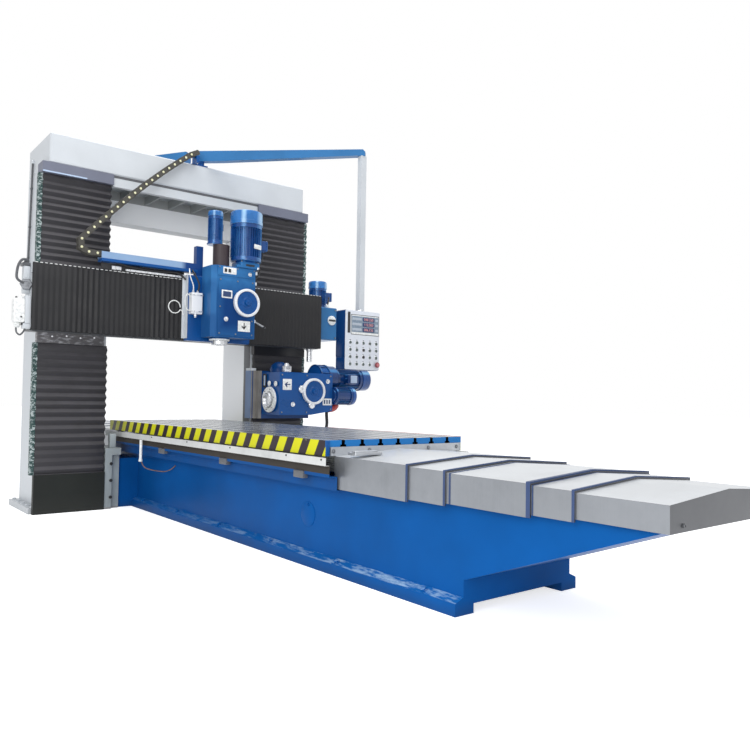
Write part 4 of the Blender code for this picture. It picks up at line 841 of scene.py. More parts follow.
def folding_guard(name, node, along, folds, depth, side_in, part=(0, 1)):
    """A folded guard: its front goes in and out as a triangle wave with blunt tips along its length, and its
    sides with it; part is its share of the node.
    The columns' guards have a flecked hem that laps round the column's outer corner."""
    low, high = (np.array(corner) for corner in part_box(node))
    whole = high[along] - low[along]
    low[along], high[along] = low[along] + part[0] * whole, low[along] + part[1] * whole
    across = 2 if along == 0 else 0
    length = high[along] - low[along]
    ridge, groove = (0.04, 0.46, 0.54, 0.96), (0.0, 0.96, 0.96, 0.0)
    turn = (np.arange(folds)[:, None] + np.array(ridge)[None, :]).reshape(-1)
    wave = np.tile(np.array(groove), folds)
    fold = np.floor(turn)
    wander = 0.16 * np.sin(12.9898 * fold + 4.1)
    share = (turn + 0.05 * np.sin(7.3 * fold + length)) / folds
    wave = np.clip(wave * (0.88 + wander), 0, 1)
    share = np.concatenate([[0], share, [1]])
    wave = np.concatenate([[0.2], wave, [0.2]])
    half = (high[across] - low[across]) / 2
    middle = (high[across] + low[across]) / 2
    rings = []
    for value, place in zip(wave, share):
        wide = half - side_in * (1 - value)
        front = low[1] + depth * (1 - value)
        corner = 0.012
        edge = np.array([(-wide, high[1]), (-wide, front + corner),
                         (-wide + 0.3 * corner, front + 0.3 * corner), (-wide + corner, front),
                         (-wide / 3, front - 0.001), (wide / 3, front - 0.001), (wide - corner, front),
                         (wide - 0.3 * corner, front + 0.3 * corner), (wide, front + corner),
                         (wide, high[1])])
        ring = np.zeros((len(edge), 3))
        ring[:, across] = middle + edge[:, 0]
        ring[:, 1] = edge[:, 1]
        ring[:, along] = low[along] + place * length
        rings.append(ring)
    guard = piece(name, loft(rings), BLACK_CLOTH if along == 2 else BEAM_CLOTH, smooth=25)
    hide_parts(node)
    items = [guard]
    if along == 2:
        side = math.copysign(1.0, low[0])
        sheet, inner = 0.0035, side * 1.508
        outer = side * (abs(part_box("column_left")[0][0]) + 0.0006)
        rows = []
        for value, place in zip(wave, share):
            front, back = 0.048 - 0.014 * value, 0.104 + 0.006 * value
            section = ((outer, back), (outer, front + sheet), (inner, front + sheet), (inner, front),
                       (outer + side * sheet, front), (outer + side * sheet, back))
            rows.append([(x, y, low[2] + place * length) for x, y in section])
        items.append(piece(f"{name}_hem", loft(rows), HEM, smooth=25))
    start, end = low.copy(), low.copy()
    end[along] = high[along]
    for item in items:
        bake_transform(item)


def guards():
    folding_guard("guard_upper_left", "bellows_upper_left", 2, 13, 0.020, 0.009)
    folding_guard("guard_upper_right", "bellows_upper_right", 2, 14, 0.020, 0.009)
    folding_guard("guard_lower_left", "bellows_lower_left", 2, 16, 0.022, 0.006)
    folding_guard("guard_middle_right", "bellows_middle_right", 2, 1, 0.012, 0.006,
                  (0, 0.5))
    folding_guard("guard_middle_top_right", "bellows_middle_right", 2, 1, 0.012, 0.006,
                  (0.5, 1))
    folding_guard("guard_lower_right", "bellows_lower_right", 2, 11, 0.022, 0.009)
    folding_guard("guard_beam_left", "beam_bellows_left", 0, 29, 0.011, 0.003)
    folding_guard("guard_beam_right", "beam_bellows_right", 0, 21, 0.007, 0.002)


def motor(name, node, body, foot, along, up, radius, cover_radius, length, cover, neck, fins=36, box_at=0.45,
          paint=None):
    """A finned motor: a neck (radius, length) and a turned core between two end shields, thin fins round
    it, a fan cover with a grille, and a terminal box on the side up."""
    foot, along, up = (np.asarray(value, float) for value in (foot, along, up))
    side = np.cross(along, up)
    core = radius * 0.86
    start = max(neck[1], 0.05 * length)
    end = length - cover
    shapes = [turned([(0, neck[0] * 0.97), (0.006, neck[0]), (neck[1] - 0.006, neck[0]),
                      (neck[1], neck[0] * 0.97)], foot, along, 40)]
    shield = 0.1 * (end - start)
    shapes.append(turned([(start - 0.001, core * 0.9), (start, radius * 0.98), (start + 0.4 * shield, radius),
                          (start + shield, radius), (start + shield, core), (end - shield, core),
                          (end - shield, radius), (end, radius), (end, core)], foot, along, 48))
    step = 2 * math.pi / fins
    for index in range(fins):
        angle = index * step + step / 2
        way = math.cos(angle) * up + math.sin(angle) * side
        if math.cos(angle) > 0.93:
            continue
        tangent = np.cross(along, way)
        fin = slab((core - 0.004, radius), (-0.0022, 0.0022),
                   (start + shield - 0.002, end - shield + 0.002), 0.001)
        shapes.append(moved(fin, np.stack([way, tangent, along], axis=1), foot))
    lip = 0.012
    fan_cover = [turned([(end + 0.002, radius * 0.99), (end + 0.002, cover_radius),
                         (end + 0.25 * cover, cover_radius), (end + 0.27 * cover, cover_radius * 0.985),
                         (length - 2.2 * lip, cover_radius * 0.985), (length - lip, cover_radius * 0.955),
                         (length - 0.3 * lip, cover_radius * 0.88),
                         (length - 0.3 * lip, cover_radius * 0.80), (length - lip, cover_radius * 0.78),
                         (length - lip, 0.01)], foot, along, 48)]
    for ring in (0.25, 0.42, 0.6):
        rim = cover_radius * ring
        fan_cover.append(turned([(length - 1.2 * lip, rim), (length - 0.2 * lip, rim),
                                 (length - 0.2 * lip, rim + 0.004), (length - 1.2 * lip, rim + 0.004)],
                                foot, along, 32))
    for index in range(6):
        angle = index * math.pi / 3
        way = math.cos(angle) * up + math.sin(angle) * side
        bar = slab((0.01, cover_radius * 0.83), (-0.003, 0.003), (length - lip, length - 0.2 * lip), 0.001)
        fan_cover.append(moved(bar, np.stack([way, np.cross(along, way), along], axis=1), foot))
    if box_at:
        at = length * box_at
        reach = 0.055 if radius > 0.1 else 0.04
        base = slab((core * 0.9, radius + 0.052), (-reach, reach), (at - reach, at + reach), 0.004, 0.012)
        lid = slab((radius + 0.052, radius + 0.072), (-reach - 0.003, reach + 0.003),
                   (at - reach - 0.003, at + reach + 0.003), 0.006, 0.014)
        gland = turned([(0, 0.017), (0.012, 0.017), (0.012, 0.012), (0.026, 0.012), (0.028, 0.009)],
                       (radius + 0.03, 0, at - reach), (0, 0, -1), 12)
        turn = np.stack([up, side, along], axis=1)
        shapes += [moved(base, turn, foot), moved(lid, turn, foot), moved(gland, turn, foot)]
        for across in (-1, 1):
            for lift in (-1, 1):
                spot = (radius + 0.072, across * (reach - 0.012), at + lift * (reach - 0.012))
                shapes.append(moved(screw(spot, (1, 0, 0), 0.005), turn, foot))
    item = piece(name, shapes, paint or MOTOR_BLUE, body)
    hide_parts(node)
    piece(f"{name}_fan_cover", fan_cover, NAVY_COVER if paint else COVER_BLUE, body)
    return item


def motors():
    low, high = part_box("main_motor")
    middle = (low[1] + high[1]) / 2
    motor("motor_main", "main_motor", "vertical_head", (0.452, middle, low[2]), (0, 0, 1), (1, 0, 0),
          0.168, 0.176, high[2] - low[2], 0.150, (0.115, 0.085))
    low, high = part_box("feed_motor_beam")
    middle = (low[1] + high[1]) / 2
    motor("motor_beam", "feed_motor_beam", "crossbeam", (low[0] + 0.117, middle, low[2]), (0, 0, 1),
          (1, 0, 0), 0.110, 0.117, high[2] - low[2], 0.095, (0.117, 0.016), 30)
    low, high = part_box("side_motor")
    motor("motor_side", "side_motor", "side_head", (low[0], -0.31, 1.395), (1, 0, 0), (0, -1, 0),
          0.125, 0.134, high[0] - low[0], 0.130, (0.155, 0.120), 30, paint=NAVY)
    low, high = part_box("feed_motor_side")
    motor("motor_side_feed", "feed_motor_side", "side_head", (low[0], -0.49, 1.195), (1, 0, 0), (0, -1, 0),
          0.106, 0.110, high[0] - low[0], 0.060, (0.075, 0.015), 28, 0, NAVY)
    low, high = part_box("feed_motor_head")
    motor("motor_feed_head", "feed_motor_head", "vertical_head", (0.13, -0.355, low[2]), (0, 0, 1),
          (0.7, 0.714, 0), 0.079, 0.082, high[2] - low[2], 0.060, (0.088, 0.016), 28, 0.6)


def chain_route():
    """The middle line of the chain: out of the tray, round a curl, up a slope that eases from one angle
    to another, and level on the crown; its depth drifts from the tray's to the crown's."""
    tray_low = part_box("cable_tray")[0]
    level, top, run, curl = tray_low[2] + 0.106, 3.830, 0.118, 0.080
    left = tray_low[0]
    rise, end_rise = math.radians(48), math.radians(37)
    angles = np.linspace(0, math.pi - rise, 25)
    bend = np.stack([left - run - curl * np.sin(angles), level + curl * (1 - np.cos(angles))], axis=1)
    start, end = bend[-1], np.array([0.0, top])
    slope, end_slope = math.tan(rise), math.tan(end_rise)
    across = (end[1] - start[1] + slope * start[0] - end_slope * end[0]) / (slope - end_slope)
    middle = np.array([across, start[1] + slope * (across - start[0])])
    share = np.linspace(0, 1, 40)[1:, None]
    climb = start * (1 - share) ** 2 + middle * (2 * share * (1 - share)) + end * share ** 2
    flat = np.vstack([[left + 0.06, level], bend, climb, [0.020, top]])
    post_top = 2.770
    depth = -0.19 + (-0.055 + 0.19) * np.clip((flat[:, 1] - post_top) / (top - post_top), 0, 1)
    return np.stack([flat[:, 0], depth, flat[:, 1]], axis=1)


def evenly(path, pitch):
    """Points an equal pitch apart along a path."""
    steps = np.linalg.norm(np.diff(path, axis=0), axis=1)
    travelled = np.concatenate([[0], np.cumsum(steps)])
    count = int(round(travelled[-1] / pitch))
    wanted = np.linspace(0, travelled[-1], count + 1)
    return np.stack([np.interp(wanted, travelled, path[:, axis]) for axis in range(3)], axis=1)


def chain_link(pitch, wide):
    """One link along X: two side plates with round ends, and a bar above and below."""
    angle = np.linspace(-math.pi / 2, math.pi / 2, 7)
    half = 0.029
    right = np.stack([pitch * 0.62 + half * 0.72 * np.cos(angle), half * np.sin(angle)], axis=1)
    left = np.stack([-pitch * 0.42 - half * 0.55 * np.cos(angle[::-1]), 0.8 * half * np.sin(angle[::-1])],
                    axis=1)
    outline = np.vstack([right, left])
    shapes = []
    for side in (-1, 1):
        low = side * (0.038 if wide else 0.033)
        shapes.append(band(outline, min(low, low - side * 0.005), max(low, low - side * 0.005), 1, 0.001))
    reach = 0.033
    for height in (-half, half - 0.005):
        shapes.append(slab((-pitch * 0.22, pitch * 0.28), (-reach, reach), (height, height + 0.005), 0.001))
    return shapes


def drag_chain():
    """The links, their pale pin caps and the cables that run through them, in an upper and a lower half."""
    path = chain_route()
    places = evenly(path, 0.085)
    pitch = np.linalg.norm(places[1] - places[0])
    halves = {"upper": ([], []), "lower": ([], [])}
    split = 3.18
    for index in range(len(places) - 1):
        here, there = places[index], places[index + 1]
        ahead = (there - here) / np.linalg.norm(there - here)
        inward = np.array([0.0, 1.0, 0.0])
        inward = inward - ahead * np.dot(ahead, inward)
        inward = inward / np.linalg.norm(inward)
        turn = np.stack([ahead, inward, np.cross(ahead, inward)], axis=1)
        middle = (here + there) / 2
        links, caps = halves["lower" if middle[2] < split else "upper"]
        links += [moved(shape, turn, middle) for shape in chain_link(pitch, index % 2)]
        spot = (-pitch * 0.42, -0.038, 0)
        caps.append(moved(turned([(0, 0.0125), (0.003, 0.012), (0.0045, 0.008)], spot, (0, -1, 0), 14),
                          turn, middle))
    for half, (links, caps) in halves.items():
        chain = piece(f"chain_{half}", links, CHAIN_PLASTIC)
        pins = piece(f"chain_pins_{half}", caps, PALE_PLASTIC)
        inside = [point for point in path if (point[2] < split + 0.05) == (half == "lower")]
        cables = []
        for offset, thick in ((-0.018, 0.007), (0.0, 0.009), (0.018, 0.006)):
            line = np.array(inside)[::3] + (0, offset, 0)
            cables.append(tube(line, thick, 8, 2))
        leads = piece(f"chain_cables_{half}", cables, RUBBER, slot="chain_plastic")
        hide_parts("drag_chain")
        for item in (chain, pins, leads):
            if half == "upper":
                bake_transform(item)
            else:
                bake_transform(item)


def handwheel(name, node, body):
    """A speed dial: a white ring with raised graduations round a blue face with a hub."""
    low, high = (np.array(corner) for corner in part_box(node))
    centre = (low + high) / 2
    radius = (high[0] - low[0]) / 2
    foot = (centre[0], high[1], centre[2])
    front = low[1] + 0.012
    depth = high[1] - front
    axis = (0, -1, 0)
    rim = radius - 0.026
    ring = turned([(0.004, radius - 0.004), (0.008, radius), (depth - 0.006, radius),
                   (depth - 0.002, radius - 0.003), (depth, radius - 0.008), (depth, rim + 0.004),
                   (depth - 0.003, rim), (depth - 0.016, rim - 0.001), (depth - 0.016, rim - 0.03),
                   (0.004, rim - 0.03)], foot, axis, 72)
    outer = piece(name, ring, WHITE, body)
    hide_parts(node)
    face = turned([(0.002, rim + 0.002), (depth - 0.015, rim - 0.0015), (depth - 0.0135, rim - 0.008),
                   (depth - 0.0135, 0.056), (depth - 0.008, 0.050), (depth - 0.008, 0.034),
                   (depth + 0.002, 0.031), (depth + 0.009, 0.028), (depth + 0.012, 0.022),
                   (depth + 0.012, 0.012), (depth + 0.008, 0.011), (depth + 0.008, 0.002)], foot, axis, 60)
    parts = [face]
    for index in range(6):
        angle = index * math.pi / 3 + 0.3
        spot = (centre[0] + 0.085 * math.cos(angle), high[1] - depth + 0.0135,
                centre[2] + 0.085 * math.sin(angle))
        parts.append(screw(spot, axis, 0.006))
    piece(f"{name}_face", parts, MACHINE_BLUE, body)
    marks = []
    for index in range(60):
        angle = index * math.pi / 30
        long = 0.009 if index % 5 == 0 else 0.005
        way = np.array([math.cos(angle), 0, math.sin(angle)])
        mark = slab((rim + 0.006, rim + 0.006 + long), (-0.0004, 0.0006), (-0.0006, 0.0006), 0.0002)
        turn = np.stack([way, (0, 1, 0), np.cross(way, (0, 1, 0))], axis=1)
        marks.append(moved(mark, turn, (centre[0], front, centre[2])))
    piece(f"{name}_marks", marks, RUBBER, body)


def handwheels():
    handwheel("speed_dial", "dial_vertical", "vertical_dial")
    handwheel("side_speed_dial", "dial_side", "side_dial")


def arrow(low, high, y, way):
    """A pale plate with a bent dark arrow on it, on a face towards -Y; way is (1, 0) for one that
    points down and (0, 1) for one that points left."""
    plate = slab((low[0], high[0]), (y - 0.003, y - 0.0003), (low[1], high[1]), 0.0008, 0.004)
    middle = (np.array(low) + np.array(high)) / 2
    size = (high[1] - low[1]) * 0.36
    outline = np.array([(-0.12, 0.9), (0.14, 0.9), (0.14, -0.1), (0.62, 0.25), (0.62, 0.02), (0.05, -0.85),
                        (-0.7, -0.2), (-0.7, 0.05), (-0.12, -0.12)])
    if way[1]:
        outline = np.stack([outline[:, 1], outline[:, 0]], axis=1)[::-1]
    return plate, band(middle + size * outline, y - 0.0045, y - 0.0028, 1, 0.0004)


def head_details():
    """What is fixed to the vertical head: cap, plates, screws, knobs, lever, motor foot and cables."""
    face = -0.5363
    cap = [slab((0.082, 0.522), (face - 0.004, -0.5301), (2.440, 2.542), 0.004, 0.01),
           slab((0.337, 0.567), (-0.562, -0.332), (2.5456, 2.612), 0.008, 0.02),
           slab((0.300, 0.340), (-0.55, -0.50), (2.5456, 2.575), 0.004)]
    piece("head_cap", cap, HEAD_BLUE, "vertical_head")
    piece("motor_foot_slot", slab((0.395, 0.500), (-0.5640, -0.5600), (2.566, 2.588), 0.001, 0.008), RUBBER,
          "vertical_head")
    heads = [(0.114, 2.397), (0.314, 2.394), (0.492, 2.394), (0.110, 1.829), (0.300, 1.829), (0.492, 1.829),
             (0.114, 2.11), (0.492, 1.98)]
    bolts = [screw((x, face, z), (0, -1, 0), 0.0085) for x, z in heads]
    bolts += [screw((x, face - 0.004, 2.527), (0, -1, 0), 0.007) for x in (0.10, 0.31, 0.505)]
    bolts += [screw((0.452 + x, -0.447 + y, 2.6121), (0, 0, 1), 0.009) for x in (-0.1, 0.1)
              for y in (-0.1, 0.1)]
    piece("head_screws", bolts, SCREW_STEEL, "vertical_head")
    plate, sign = arrow((0.327, 1.862), (0.472, 1.977), face, (1, 0))
    name_plate = slab((0.141, 0.295), (face - 0.0055, face - 0.0042), (2.462, 2.532), 0.0005, 0.004)
    framed = slab((0.130, 0.253), (face - 0.003, face - 0.0003), (2.204, 2.289), 0.0008, 0.006)
    sticker = slab((-0.055, 0.055), (-0.0015, 0.0015), (-0.024, 0.024), 0.0005, 0.006)
    angle = math.radians(18)
    turn = np.array([(math.cos(angle), -math.sin(angle), 0), (math.sin(angle), math.cos(angle), 0),
                     (0, 0, 1)])
    around = (0.452 + 0.1725 * math.sin(angle), -0.446 - 0.1725 * math.cos(angle), 2.779)
    piece("head_plates", [plate, name_plate, framed, moved(sticker, turn, around)], PALE_PLATE,
          "vertical_head")
    inner = slab((0.145, 0.238), (face - 0.0042, face - 0.002), (2.218, 2.275), 0.0006, 0.004)
    piece("head_plate_field", inner, STRIP_BLUE, "vertical_head")
    marks = [slab((0.155 + step * 0.045, 0.185 + step * 0.045), (face - 0.0068, face - 0.0050),
                  (2.478, 2.516), 0.0004, 0.003) for step in range(2)]
    piece("head_plate_marks", [sign] + marks, RUBBER, "vertical_head")
    knob = [turned([(-0.001, 0.024), (0.008, 0.024), (0.010, 0.017), (0.026, 0.0155), (0.030, 0.011)],
                   (0.185, face, 1.982), (0, -1, 0), 28),
            turned([(-0.001, 0.030), (0.012, 0.030), (0.015, 0.022), (0.024, 0.020)],
                   (0.5301, -0.49, 1.986), (1, 0, 0), 28)]
    piece("head_knobs", knob, SILVER, "vertical_head")
    piece("head_lever", tube([(0.548, -0.495, 1.984), (0.585, -0.51, 1.962), (0.655, -0.545, 1.920)], 0.011,
                             12, 4), SCREW_STEEL, "vertical_head")
    ball = turned([(0.0, 0.004), (0.004, 0.011), (0.012, 0.015), (0.022, 0.013), (0.030, 0.005)],
                  (0.632, -0.536, 1.933), np.array((0.83, -0.35, -0.43)) / 0.998, 20)
    piece("head_lever_ball", ball, RUBBER, "vertical_head")
    leads = [tube([(0.648, -0.45, 2.775), (0.650, -0.452, 2.70), (0.615, -0.44, 2.60), (0.560, -0.40, 2.52),
                   (0.533, -0.36, 2.46)], 0.011, 10, 6),
             tube([(0.574, -0.50, 2.60), (0.600, -0.50, 2.55), (0.575, -0.48, 2.47), (0.532, -0.46, 2.42)],
                  0.008, 8, 6)]
    piece("head_leads", leads, RUBBER, "vertical_head")
    fittings = [turned([(-0.001, 0.016), (0.014, 0.016), (0.015, 0.011), (0.026, 0.011)],
                       (0.5301, -0.46, 2.42), (1, 0, 0), 6),
                turned([(-0.001, 0.020), (0.016, 0.020), (0.017, 0.014), (0.03, 0.014)],
                       (0.5301, -0.36, 2.46), (1, 0, 0), 6),
                turned([(0, 0.014), (0.02, 0.014), (0.024, 0.010)], (0.545, -0.552, 2.5457), (0, 0, 1), 16),
                turned([(-0.001, 0.021), (0.008, 0.021), (0.012, 0.016), (0.020, 0.012)],
                       (0.456, face - 0.0042, 2.483), (0, -1, 0), 24),
                slab((0.5302, 0.556), (-0.530, -0.492), (2.488, 2.530), 0.006, 0.012),
                slab((0.5302, 0.550), (-0.530, -0.498), (2.374, 2.412), 0.006, 0.012)]
    piece("head_fittings", fittings, SILVER, "vertical_head")


def spindle(name, node, body, head, foot, axis, flange, reach):
    """A spindle nose: a turned body with a bore and two driving keys, inside a pale flange ring with
    screws that stays with the head."""
    foot, axis = np.asarray(foot, float), np.asarray(axis, float)
    nose = turned([(0.016, 0.0885), (0.016 + 0.25 * reach, 0.0895), (0.016 + 0.7 * reach, 0.0895),
                   (0.016 + 0.72 * reach, 0.0850), (0.012 + reach, 0.0845), (0.015 + reach, 0.0820),
                   (0.015 + reach, 0.0740), (0.013 + reach, 0.0730), (0.010, 0.0560)], foot, axis, 48)
    # Painted shade: the bore is painted near black.
    bore = turned([(0.0145, 0.0640), (0.0150, 0.0585), (0.0110, 0.0400), (0.0095, 0.0380), (0.0090, 0.010)],
                  foot, axis, 48)
    piece(f"{name}_bore", bore, RUBBER, body, slot="bright_steel")
    first, second = basis(axis)
    turn = np.stack([first, second, axis], axis=1)
    keys = [moved(slab((side * 0.074 - 0.010, side * 0.074 + 0.010), (-0.0125, 0.0125),
                       (0.010 + reach, 0.020 + reach), 0.001), turn, foot) for side in (-1, 1)]
    for index in range(4):
        angle = math.pi / 4 + index * math.pi / 2
        spot = foot + axis * (0.015 + reach) + 0.078 * (math.cos(angle) * first + math.sin(angle) * second)
        keys.append(screw(spot, axis, 0.0035))
    item = piece(name, [nose] + keys, BRIGHT_STEEL, body)
    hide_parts(node)
    ring = turned([(-0.001, flange + 0.001), (0.012, flange + 0.001), (0.0165, flange - 0.004),
                   (0.0165, 0.094), (0.0145, 0.0925), (-0.001, 0.0925)], foot, axis, 56, True)
    piece(f"{name}_flange", ring, PALE_PLATE, head, slot="bright_steel")
    bolts = []
    for index in range(6):
        angle = index * math.pi / 3 + 0.2
        middle = (flange + 0.094) / 2
        spot = foot + axis * 0.0165 + middle * (math.cos(angle) * first + math.sin(angle) * second)
        bolts.append(screw(spot, axis, min(0.008, (flange - 0.098) / 2.2)))
    piece(f"{name}_flange_screws", bolts, SCREW_STEEL, head)


def spindles():
    spindle("spindle_nose", "vertical_spindle", "vertical_spindle", "vertical_head", (0.190, -0.385, 1.775),
            (0, 0, -1), 0.108, 0.045)
    spindle("side_spindle_nose", "side_spindle", "side_spindle", "side_head", (0.866, -0.310, 1.140),
            (-1, 0, 0), 0.145, 0.030)


def side_details():
    """What is fixed to the side head and its slide."""
    face = -0.5003
    plate, sign = arrow((0.920, 1.251), (1.036, 1.374), face, (0, 1))
    bare = slab((1.464, 1.590), (face - 0.003, face - 0.0003), (1.082, 1.160), 0.0008, 0.004)
    piece("side_plates", [plate, bare], PALE_PLATE, "side_head")
    marks = [slab((1.480 + step * 0.034, 1.498 + step * 0.034), (face - 0.0045, face - 0.0028),
                  (1.098, 1.144), 0.0004, 0.003) for step in range(3)]
    piece("side_plate_marks", [sign] + marks, STRIP_BLUE, "side_head", slot="black_cover")
    knob = [turned([(-0.001, 0.026), (0.010, 0.026), (0.012, 0.018), (0.028, 0.016), (0.032, 0.010)],
                   (x, face, z), (0, -1, 0), 28) for x, z in ((1.054, 1.090), (1.528, 1.360))]
    knob += [turned([(-0.001, 0.042), (0.020, 0.042), (0.026, 0.034)], (x, face, z), (0, -1, 0), 32)
             for x, z in ((1.306, 1.086), (1.168, 1.262))]
    piece("side_knobs", knob, SILVER, "side_head")
    edges = [(0.91, 1.42), (1.24, 1.42), (1.57, 1.42), (0.91, 1.00), (1.24, 1.00), (1.575, 1.035)]
    piece("side_screws", [screw((x, face, z), (0, -1, 0), 0.009) for x, z in edges], SCREW_STEEL, "side_head")
    fitting = [slab((0.962, 1.050), (-0.47, -0.40), (1.4505, 1.525), 0.006, 0.012),
               turned([(0, 0.030), (0.014, 0.030), (0.018, 0.022), (0.030, 0.020)], (1.006, -0.435, 1.525),
                      (0, 0, 1), 24)]
    piece("side_top_fitting", fitting, SILVER, "side_head", slot="light_grey")
    dome = turned([(-0.0005, 0.112), (0.035, 0.112), (0.070, 0.100), (0.100, 0.074), (0.118, 0.040),
                   (0.122, 0.01)], (0.995, -0.30, 1.4505), (0, 0, 1), 40)
    piece("side_dome", dome, DEEP_BLUE, "side_head")
    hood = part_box("side_head")[1][0]
    rims = []
    for along in (1.478, hood - 0.002):
        rims.append(turned([(-0.010, 0.1545), (-0.010, 0.166), (-0.007, 0.169), (0.007, 0.169),
                            (0.010, 0.166), (0.010, 0.1545)], (along, -0.31, 1.395), (1, 0, 0), 48, True))
    for index in range(5):
        angle = math.radians(25 + 32 * index)
        way = np.array([0, -math.cos(angle), math.sin(angle)])
        rib = slab((1.49, hood - 0.012), (-0.004, 0.004), (0.150, 0.166), 0.002)
        rims.append(moved(rib, np.stack([(1, 0, 0), np.cross(way, (1, 0, 0)), way], axis=1),
                          (0, -0.31, 1.395)))
    piece("side_hood_rims", rims, NAVY, "side_head")
    elbow = [tube([(1.578, -0.455, 1.036), (1.625, -0.455, 1.040), (1.668, -0.452, 1.058),
                   (1.690, -0.45, 1.090)], 0.038, 16, 5)]
    piece("side_red_elbow", elbow, RED, "side_head")
    lead = tube([(1.600, -0.31, 1.040), (1.648, -0.31, 1.020), (1.656, -0.31, 0.960), (1.656, -0.31, 0.82),
                 (1.630, -0.22, 0.72), (1.53, -0.10, 0.68)], 0.019, 12, 8)
    piece("side_lead", lead, RUBBER, "side_head")
    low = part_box("side_motor")[0]
    plates = slab((1.850, 1.945), (low[1] - 0.0145, low[1] - 0.0115), (1.350, 1.440), 0.0008, 0.006)
    piece("side_motor_plate", plates, PALE_BLUE, "side_head")
    slot = [slab((0.8630, 0.8658), (-0.231, -0.157), (1.278, 1.432), 0.001, 0.008)]
    piece("side_slot", slot, RUBBER, "side_head")
    # A painted highlight: a pale strip over the black slot.
    painted_gleam = [slab((0.8605, 0.8628), (-0.212, -0.180), (1.300, 1.415), 0.001, 0.006)]
    piece("side_slot_painted_highlight", painted_gleam, PALE_BLUE, "side_head", slot="bright_steel")
    dots = [turned([(-0.0005, 0.030), (0.006, 0.030), (0.010, 0.024), (0.010, 0.012), (0.006, 0.010)],
                   (0.866, y, z), (-1, 0, 0), 24) for y, z in ((-0.300, 1.322), (-0.440, 1.318))]
    piece("side_dots", dots, PALE_PLATE, "side_head", slot="bright_steel")
    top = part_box("side_slide")[1][2]
    wiper = slab((0.766, 0.834), (-0.048, 0.070), (top + 0.0004, top + 0.03), 0.003)
    piece("side_slide_wiper", wiper, LIGHT_GREY, "side_slide")


def saddle_details():
    """The guard's pale end frame, the oil valve's fittings and hoses, what hangs under the tray, and a dark
    sheet of painted shade behind the tray's hoses.
    """
    low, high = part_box("saddle")
    left = low[0]
    frames = [slab((left - 0.036, left - 0.0008), (-0.2065, -0.1998), (1.775, 2.452), 0.002),
              slab((left - 0.0038, left - 0.0008), (-0.2715, -0.2066), (1.775, 2.452), 0.001)]
    frames += [slab((high[0] + 0.0008, high[0] + 0.030), (-0.2065, -0.1998), (1.775, 2.452), 0.002)]
    piece("guard_end_frames", frames, LIGHT_GREY, "saddle")
    angle = np.linspace(0, 2 * math.pi * 0.93, 22)
    loop = np.stack([-0.250 + 0.066 * np.cos(angle), np.linspace(-0.214, -0.230, 22),
                     2.100 + 0.066 * np.sin(angle)], axis=1)
    tail = [(-0.168, -0.232, 2.060), (-0.160, -0.236, 2.02)]
    valve_low, valve_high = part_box("oil_valve")
    middle = (valve_low[0] + valve_high[0]) / 2
    front = valve_low[1]
    hoses = [tube(np.vstack([loop, tail]), 0.0055, 8, 2),
             tube([(middle - 0.03, front + 0.04, valve_high[2]), (middle - 0.035, front + 0.03, 2.33),
                   (middle - 0.075, front + 0.02, 2.42), (middle - 0.07, front + 0.06, 2.51)], 0.006, 8, 6),
             tube([(valve_low[0] + 0.01, front + 0.03, 2.20), (left - 0.03, front + 0.03, 2.235),
                   (left - 0.045, front + 0.05, 2.17), (left - 0.02, front + 0.06, 2.08),
                   (valve_low[0] + 0.01, front + 0.03, 2.06)], 0.0055, 8, 6)]
    piece("oil_hoses", hoses, PALE_PLATE, "saddle")
    black = [tube([(middle + 0.02, front + 0.04, valve_high[2]), (middle + 0.03, front + 0.03, 2.35),
                   (middle - 0.01, front + 0.05, 2.45), (middle - 0.02, -0.22, 2.53)], 0.009, 10, 6),
             tube([(-0.93, -0.205, 2.500), (-0.70, -0.200, 2.462), (-0.45, -0.195, 2.452),
                   (-0.22, -0.205, 2.462), (-0.128, -0.215, 2.40)], 0.010, 10, 8),
             tube([(-0.97, -0.175, 2.506), (-0.75, -0.170, 2.480), (-0.45, -0.175, 2.470),
                   (-0.20, -0.18, 2.480), (-0.10, -0.19, 2.51)], 0.008, 10, 8)]
    piece("tray_hoses", black, RUBBER, "saddle")
    silver = [slab((-0.765, -0.170), (-0.2035, -0.1800), (2.4165, 2.4385), 0.003),
              slab((-0.905, -0.810), (-0.2020, -0.1800), (2.4165, 2.4550), 0.004)]
    for lift in (valve_low[2] + 0.02, valve_high[2] - 0.032):
        silver.append(slab((valve_low[0] - 0.004, valve_high[0] + 0.004), (front - 0.004, front + 0.075),
                           (lift, lift + 0.012), 0.002))
    silver += [turned([(0, 0.014), (0.018, 0.014), (0.020, 0.010), (0.032, 0.010)],
                      (middle + across, front + 0.04, valve_high[2] - 0.001), (0, 0, 1), 6)
               for across in (-0.03, 0.02)]
    silver.append(turned([(0, 0.020), (0.020, 0.020), (0.024, 0.014), (0.036, 0.012)],
                         (middle, front + 0.04, valve_low[2] + 0.001), (0, 0, -1), 20))
    piece("valve_fittings", silver, SILVER, "saddle")
    under = slab((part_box("cable_tray")[0][0] + 0.002, -0.012), (-0.2515, -0.1285), (2.4830, 2.5116), 0.002)
    # Painted shade: a dark sheet behind the hoses under the tray, standing for the shade there.
    shade_backing = [slab((-1.000, -0.127), (-0.1650, -0.1600), (2.4075, 2.4826), 0.0015)]
    piece("tray_shade_backing", shade_backing, RUBBER, "saddle")
    piece("tray_underside", under, MACHINE_BLUE, "saddle")


